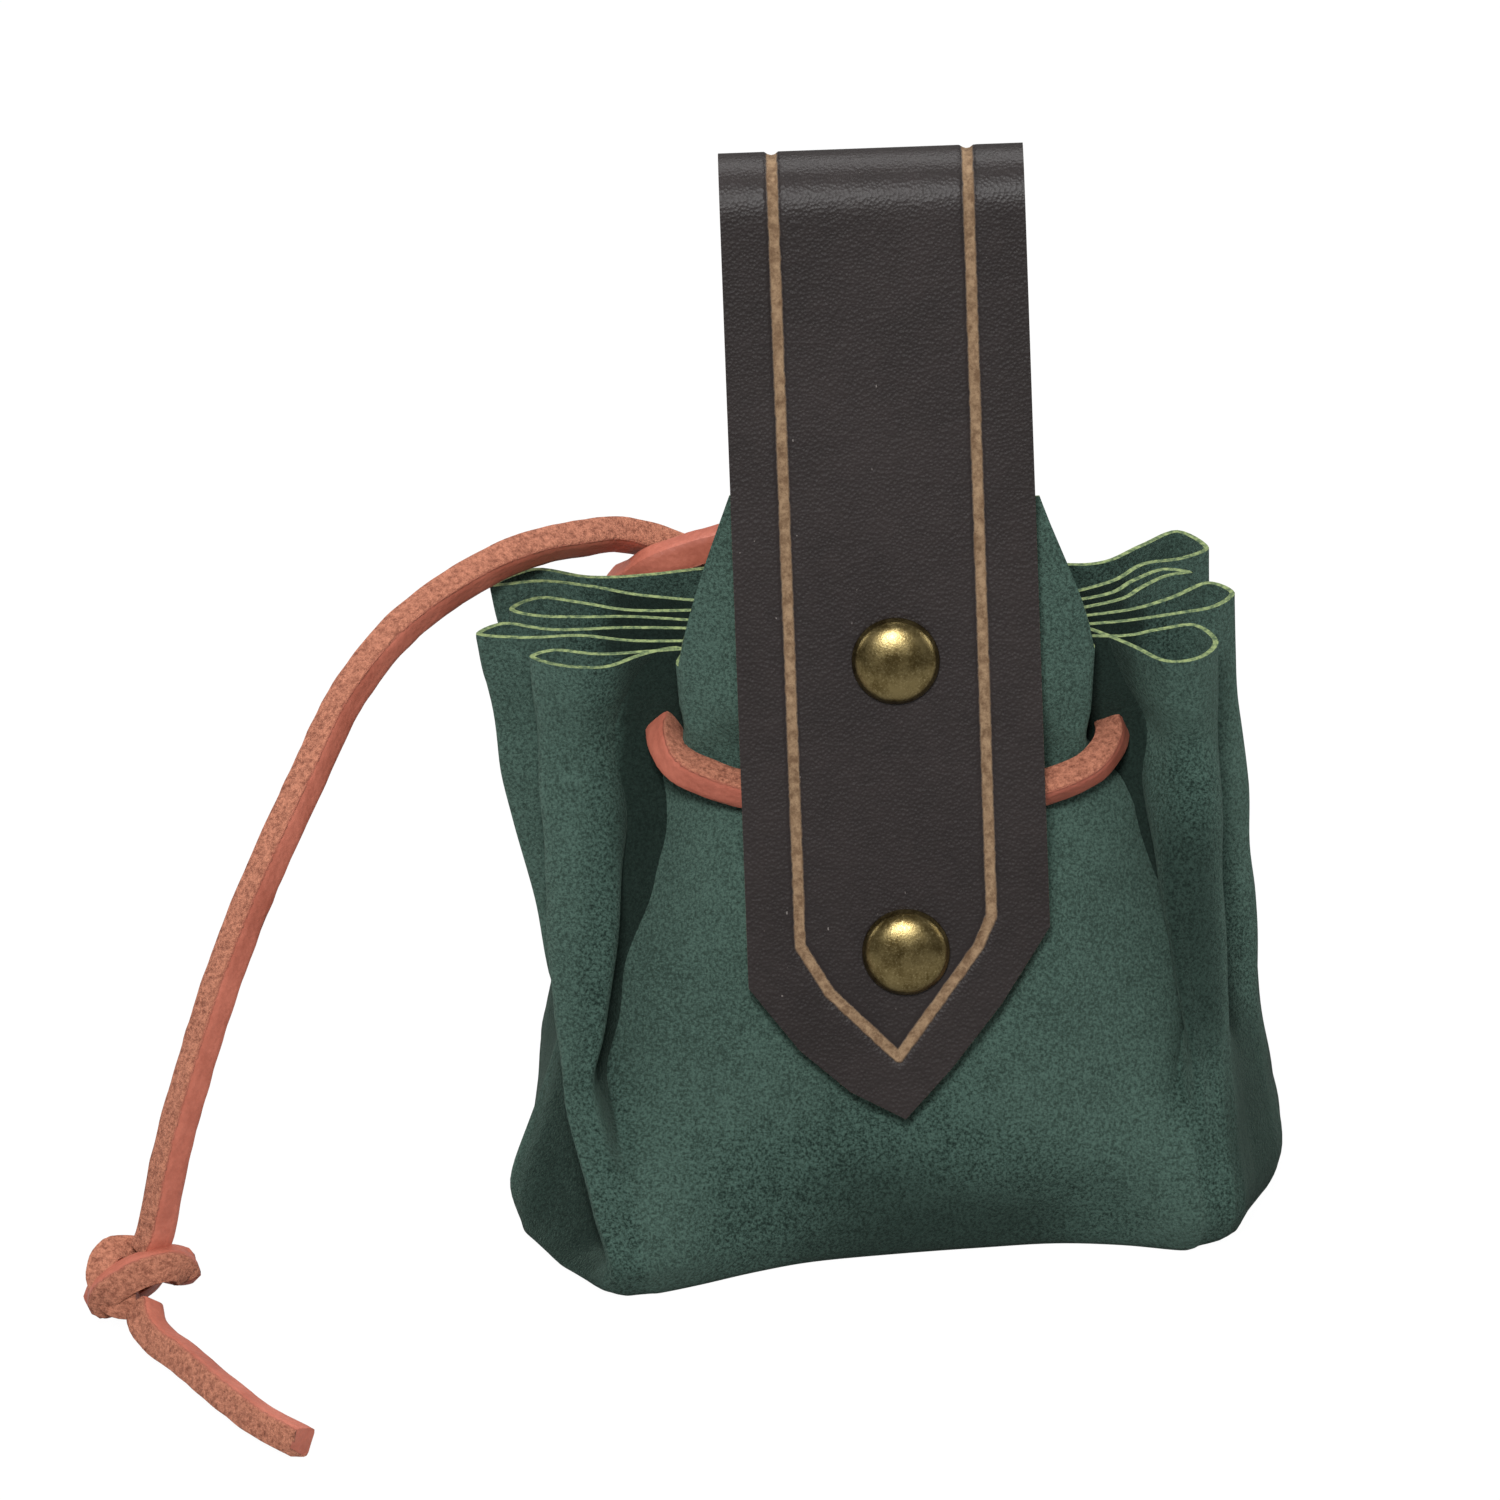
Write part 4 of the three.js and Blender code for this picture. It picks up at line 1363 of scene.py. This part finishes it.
@dataclass
class Studio:
    """A pale floor, soft light, and the camera in front of and above the bag."""

    distance: float = 2.0
    elevation: float = math.radians(30)
    aim: Point = (-0.015, 0.0, 0.0512)
    width_seen: float = 0.1732
    sensor: float = 36.0

    def camera(self) -> None:
        """Add the camera."""
        data = bpy.data.cameras.new("camera")
        data.sensor_width = self.sensor
        data.lens = self.sensor * self.distance / self.width_seen
        data.clip_start, data.clip_end = 0.05, 20
        camera = bpy.data.objects.new("camera", data)
        x, y, z = self.aim
        camera.location = (
            x, y - math.cos(self.elevation) * self.distance, z + math.sin(self.elevation) * self.distance
        )
        camera.rotation_euler = (math.pi / 2 - self.elevation, 0, 0)
        bpy.context.scene.collection.objects.link(camera)
        bpy.context.scene.camera = camera

    def floor(self) -> None:
        """Add the floor, white to the camera and pale to the light."""
        deselect_all()
        bpy.ops.mesh.primitive_plane_add(size=6, location=(0, 0, 0))
        floor = named("studio_floor")
        shader = Shader("studio_white")
        seen = shader.node("ShaderNodeLightPath", output="Is Camera Ray")
        card = shader.node("ShaderNodeBsdfDiffuse", inputs={"Color": (0.42, 0.42, 0.42, 1)})
        glow = shader.node("ShaderNodeEmission", inputs={"Color": (1, 1, 1, 1), "Strength": 1.06})
        share = seen * 0.93
        both = shader.node("ShaderNodeMixShader", inputs={0: share, 1: card, 2: glow})
        floor.data.materials.append(shader.finish(both))

    def lamp(self, name: str, place: Point, size: float, watts: float) -> None:
        """Add a square soft light aimed at the bag."""
        data = bpy.data.lights.new(name, "AREA")
        data.size = size
        data.energy = watts
        lamp = bpy.data.objects.new(name, data)
        lamp.location = place
        lamp.rotation_euler = (Vector((0, 0, 0.06)) - Vector(place)).to_track_quat("-Z", "Y").to_euler()
        bpy.context.scene.collection.objects.link(lamp)

    def light(self) -> None:
        """Add the lamps and the world."""
        self.lamp("key_front", (-0.12, -0.9, 1.05), 0.35, 18.0)
        self.lamp("side_left", (-0.8, 0.2, 0.45), 0.4, 1.6)
        self.lamp("side_right", (0.8, 0.1, 0.45), 0.4, 1.8)
        self.lamp("top_back", (0.0, 0.6, 1.0), 0.6, 7.5)
        world = bpy.data.worlds.new("studio_world")
        world.use_nodes = True
        world.node_tree.nodes["Background"].inputs["Color"].default_value = (1, 1, 1, 1)
        world.node_tree.nodes["Background"].inputs["Strength"].default_value = 0.2
        bpy.context.scene.world = world

    def build(self) -> None:
        """Set the studio up."""
        bpy.context.scene.view_settings.view_transform = "Standard"
        self.camera()
        self.floor()
        self.light()


# ---------------------------------------------------------------- the whole bag


@dataclass
class DiceBag:
    """The bag's pieces, some of them on the body that carries them."""

    pouch: Pouch = field(default_factory=Pouch)
    strap: Strap = field(default_factory=Strap)
    rivets: Rivets = field(default_factory=Rivets)
    lace: Lace = field(default_factory=Lace)

    def build_lace(self) -> None:
        """Model every stretch of the lace, and hide the imported pieces it stands for."""
        hide = LaceFinish().build()
        millimetre_route = {"lace_left_run": LEFT_RUN, "lace_right_run": RIGHT_RUN, "lace_back_run": BACK_RUN}
        for name, route in millimetre_route.items():
            strand, _ = self.lace.strand(f"{name}_hide", route, hide)
            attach(strand, "pouch")
            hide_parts(name)
        span, _ = self.lace.strand("lace_front_span_hide", FRONT_SPAN[::-1], hide, turn=0.35, twist=0.55)
        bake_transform(span)
        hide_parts("lace_front_span")
        leaning, upward = (0.0, -0.866, 0.5), (0.0, 0.0, 1.0)
        self._end("lace_free", "lace_end", (FREE_END, FREE_TAIL), FREE_KNOT, leaning, hide, 0.4)
        self._end("lace_hidden", "pouch", (HIDDEN_END, HIDDEN_TAIL), HIDDEN_KNOT, upward, hide, 1.9)

    def _end(
        self,
        name: str,
        body: str,
        routes: tuple[Sequence[Point], Sequence[Point]],
        knot_place: Point,
        knot_faces: Point,
        hide: bpy.types.Material,
        turn: float,
    ) -> None:
        """Model one free end with its knot and tail.

        Args:
            name: The start of the pieces' names.
            body: The body that the knot rides on.
            routes: The free stretch's route and the tail's.
            knot_place: The knot's middle.
            knot_faces: The way the knot's outer turn faces.
            hide: The lace's material.
            turn: How far the lace's section is turned at the start.
        """
        route, tail_route = routes
        knot = self.lace.knot(f"{name}_knot_hide", knot_place, route[-1], tail_route[0], knot_faces, hide)
        middle = np.array(knot_place, dtype=float)
        begins = tuple(np.array(route[-1]) * 0.6 + middle * 0.4)
        ends = tuple(np.array(tail_route[0]) * 0.6 + middle * 0.4)
        strand, line = self.lace.strand(f"{name}_end_hide", [*route, begins], hide, turn=turn, twist=0.5)
        tail, _ = self.lace.strand(
            f"{name}_tail_hide", [ends, *tail_route], hide, turn=0.75, facing=(0.0, -0.5, 0.866)
        )
        for piece, node in ((strand, "end"), (knot, "knot"), (tail, "tail")):
            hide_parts(f"{name}_{node}")
        for piece in (knot, tail):
            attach(piece, body)
        if body == "lace_end":
            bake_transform(strand)
        else:
            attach(strand, body)

    def build_pouch(self) -> None:
        suede = self.pouch.build(SuedeFinish().build(), CutSuedeFinish().build())
        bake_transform(suede)
        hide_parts("suede_body", "suede_front")

    def build_strap(self) -> None:
        finish = StrapFinish()
        sides = [finish.build(side, self.strap.groove_mask) for side in (Side.GRAIN, Side.FLESH, Side.EDGE)]
        strap = self.strap.build(sides)
        _, e_up, _ = PLANE.axes()
        foot = np.array(PLANE.origin) + e_up * 44
        top = np.array(PLANE.origin) + e_up * 64
        tuple(foot * MM)
        tuple(top * MM)
        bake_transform(strap)
        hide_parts("strap_front_leg", "strap_back_leg", "strap_belt_loop")

    def build_rivets(self) -> None:
        brass = PatinaFinish().build()
        for name, up in (("lower", 0.0), ("upper", self.rivets.spacing)):
            cap = self.rivets.cap(f"rivet_{name}_cap_domed", up, brass)
            post = self.rivets.post(f"rivet_{name}_post_turned", up, brass)
            for piece, node in ((cap, "cap"), (post, "post")):
                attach(piece, "front")
                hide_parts(f"rivet_{name}_{node}")

    def build(self) -> None:
        """Build every piece in order."""
        for step in (self.build_lace, self.build_pouch, self.build_strap, self.build_rivets):
            step()
            LOG.info("%s done", step.__name__)


def main() -> None:
    """Build the studio and the bag."""
    logging.basicConfig(level=logging.INFO, format="%(message)s")
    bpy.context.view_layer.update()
    Studio().build()
    DiceBag().build()


if __name__ == "__main__":
    main()
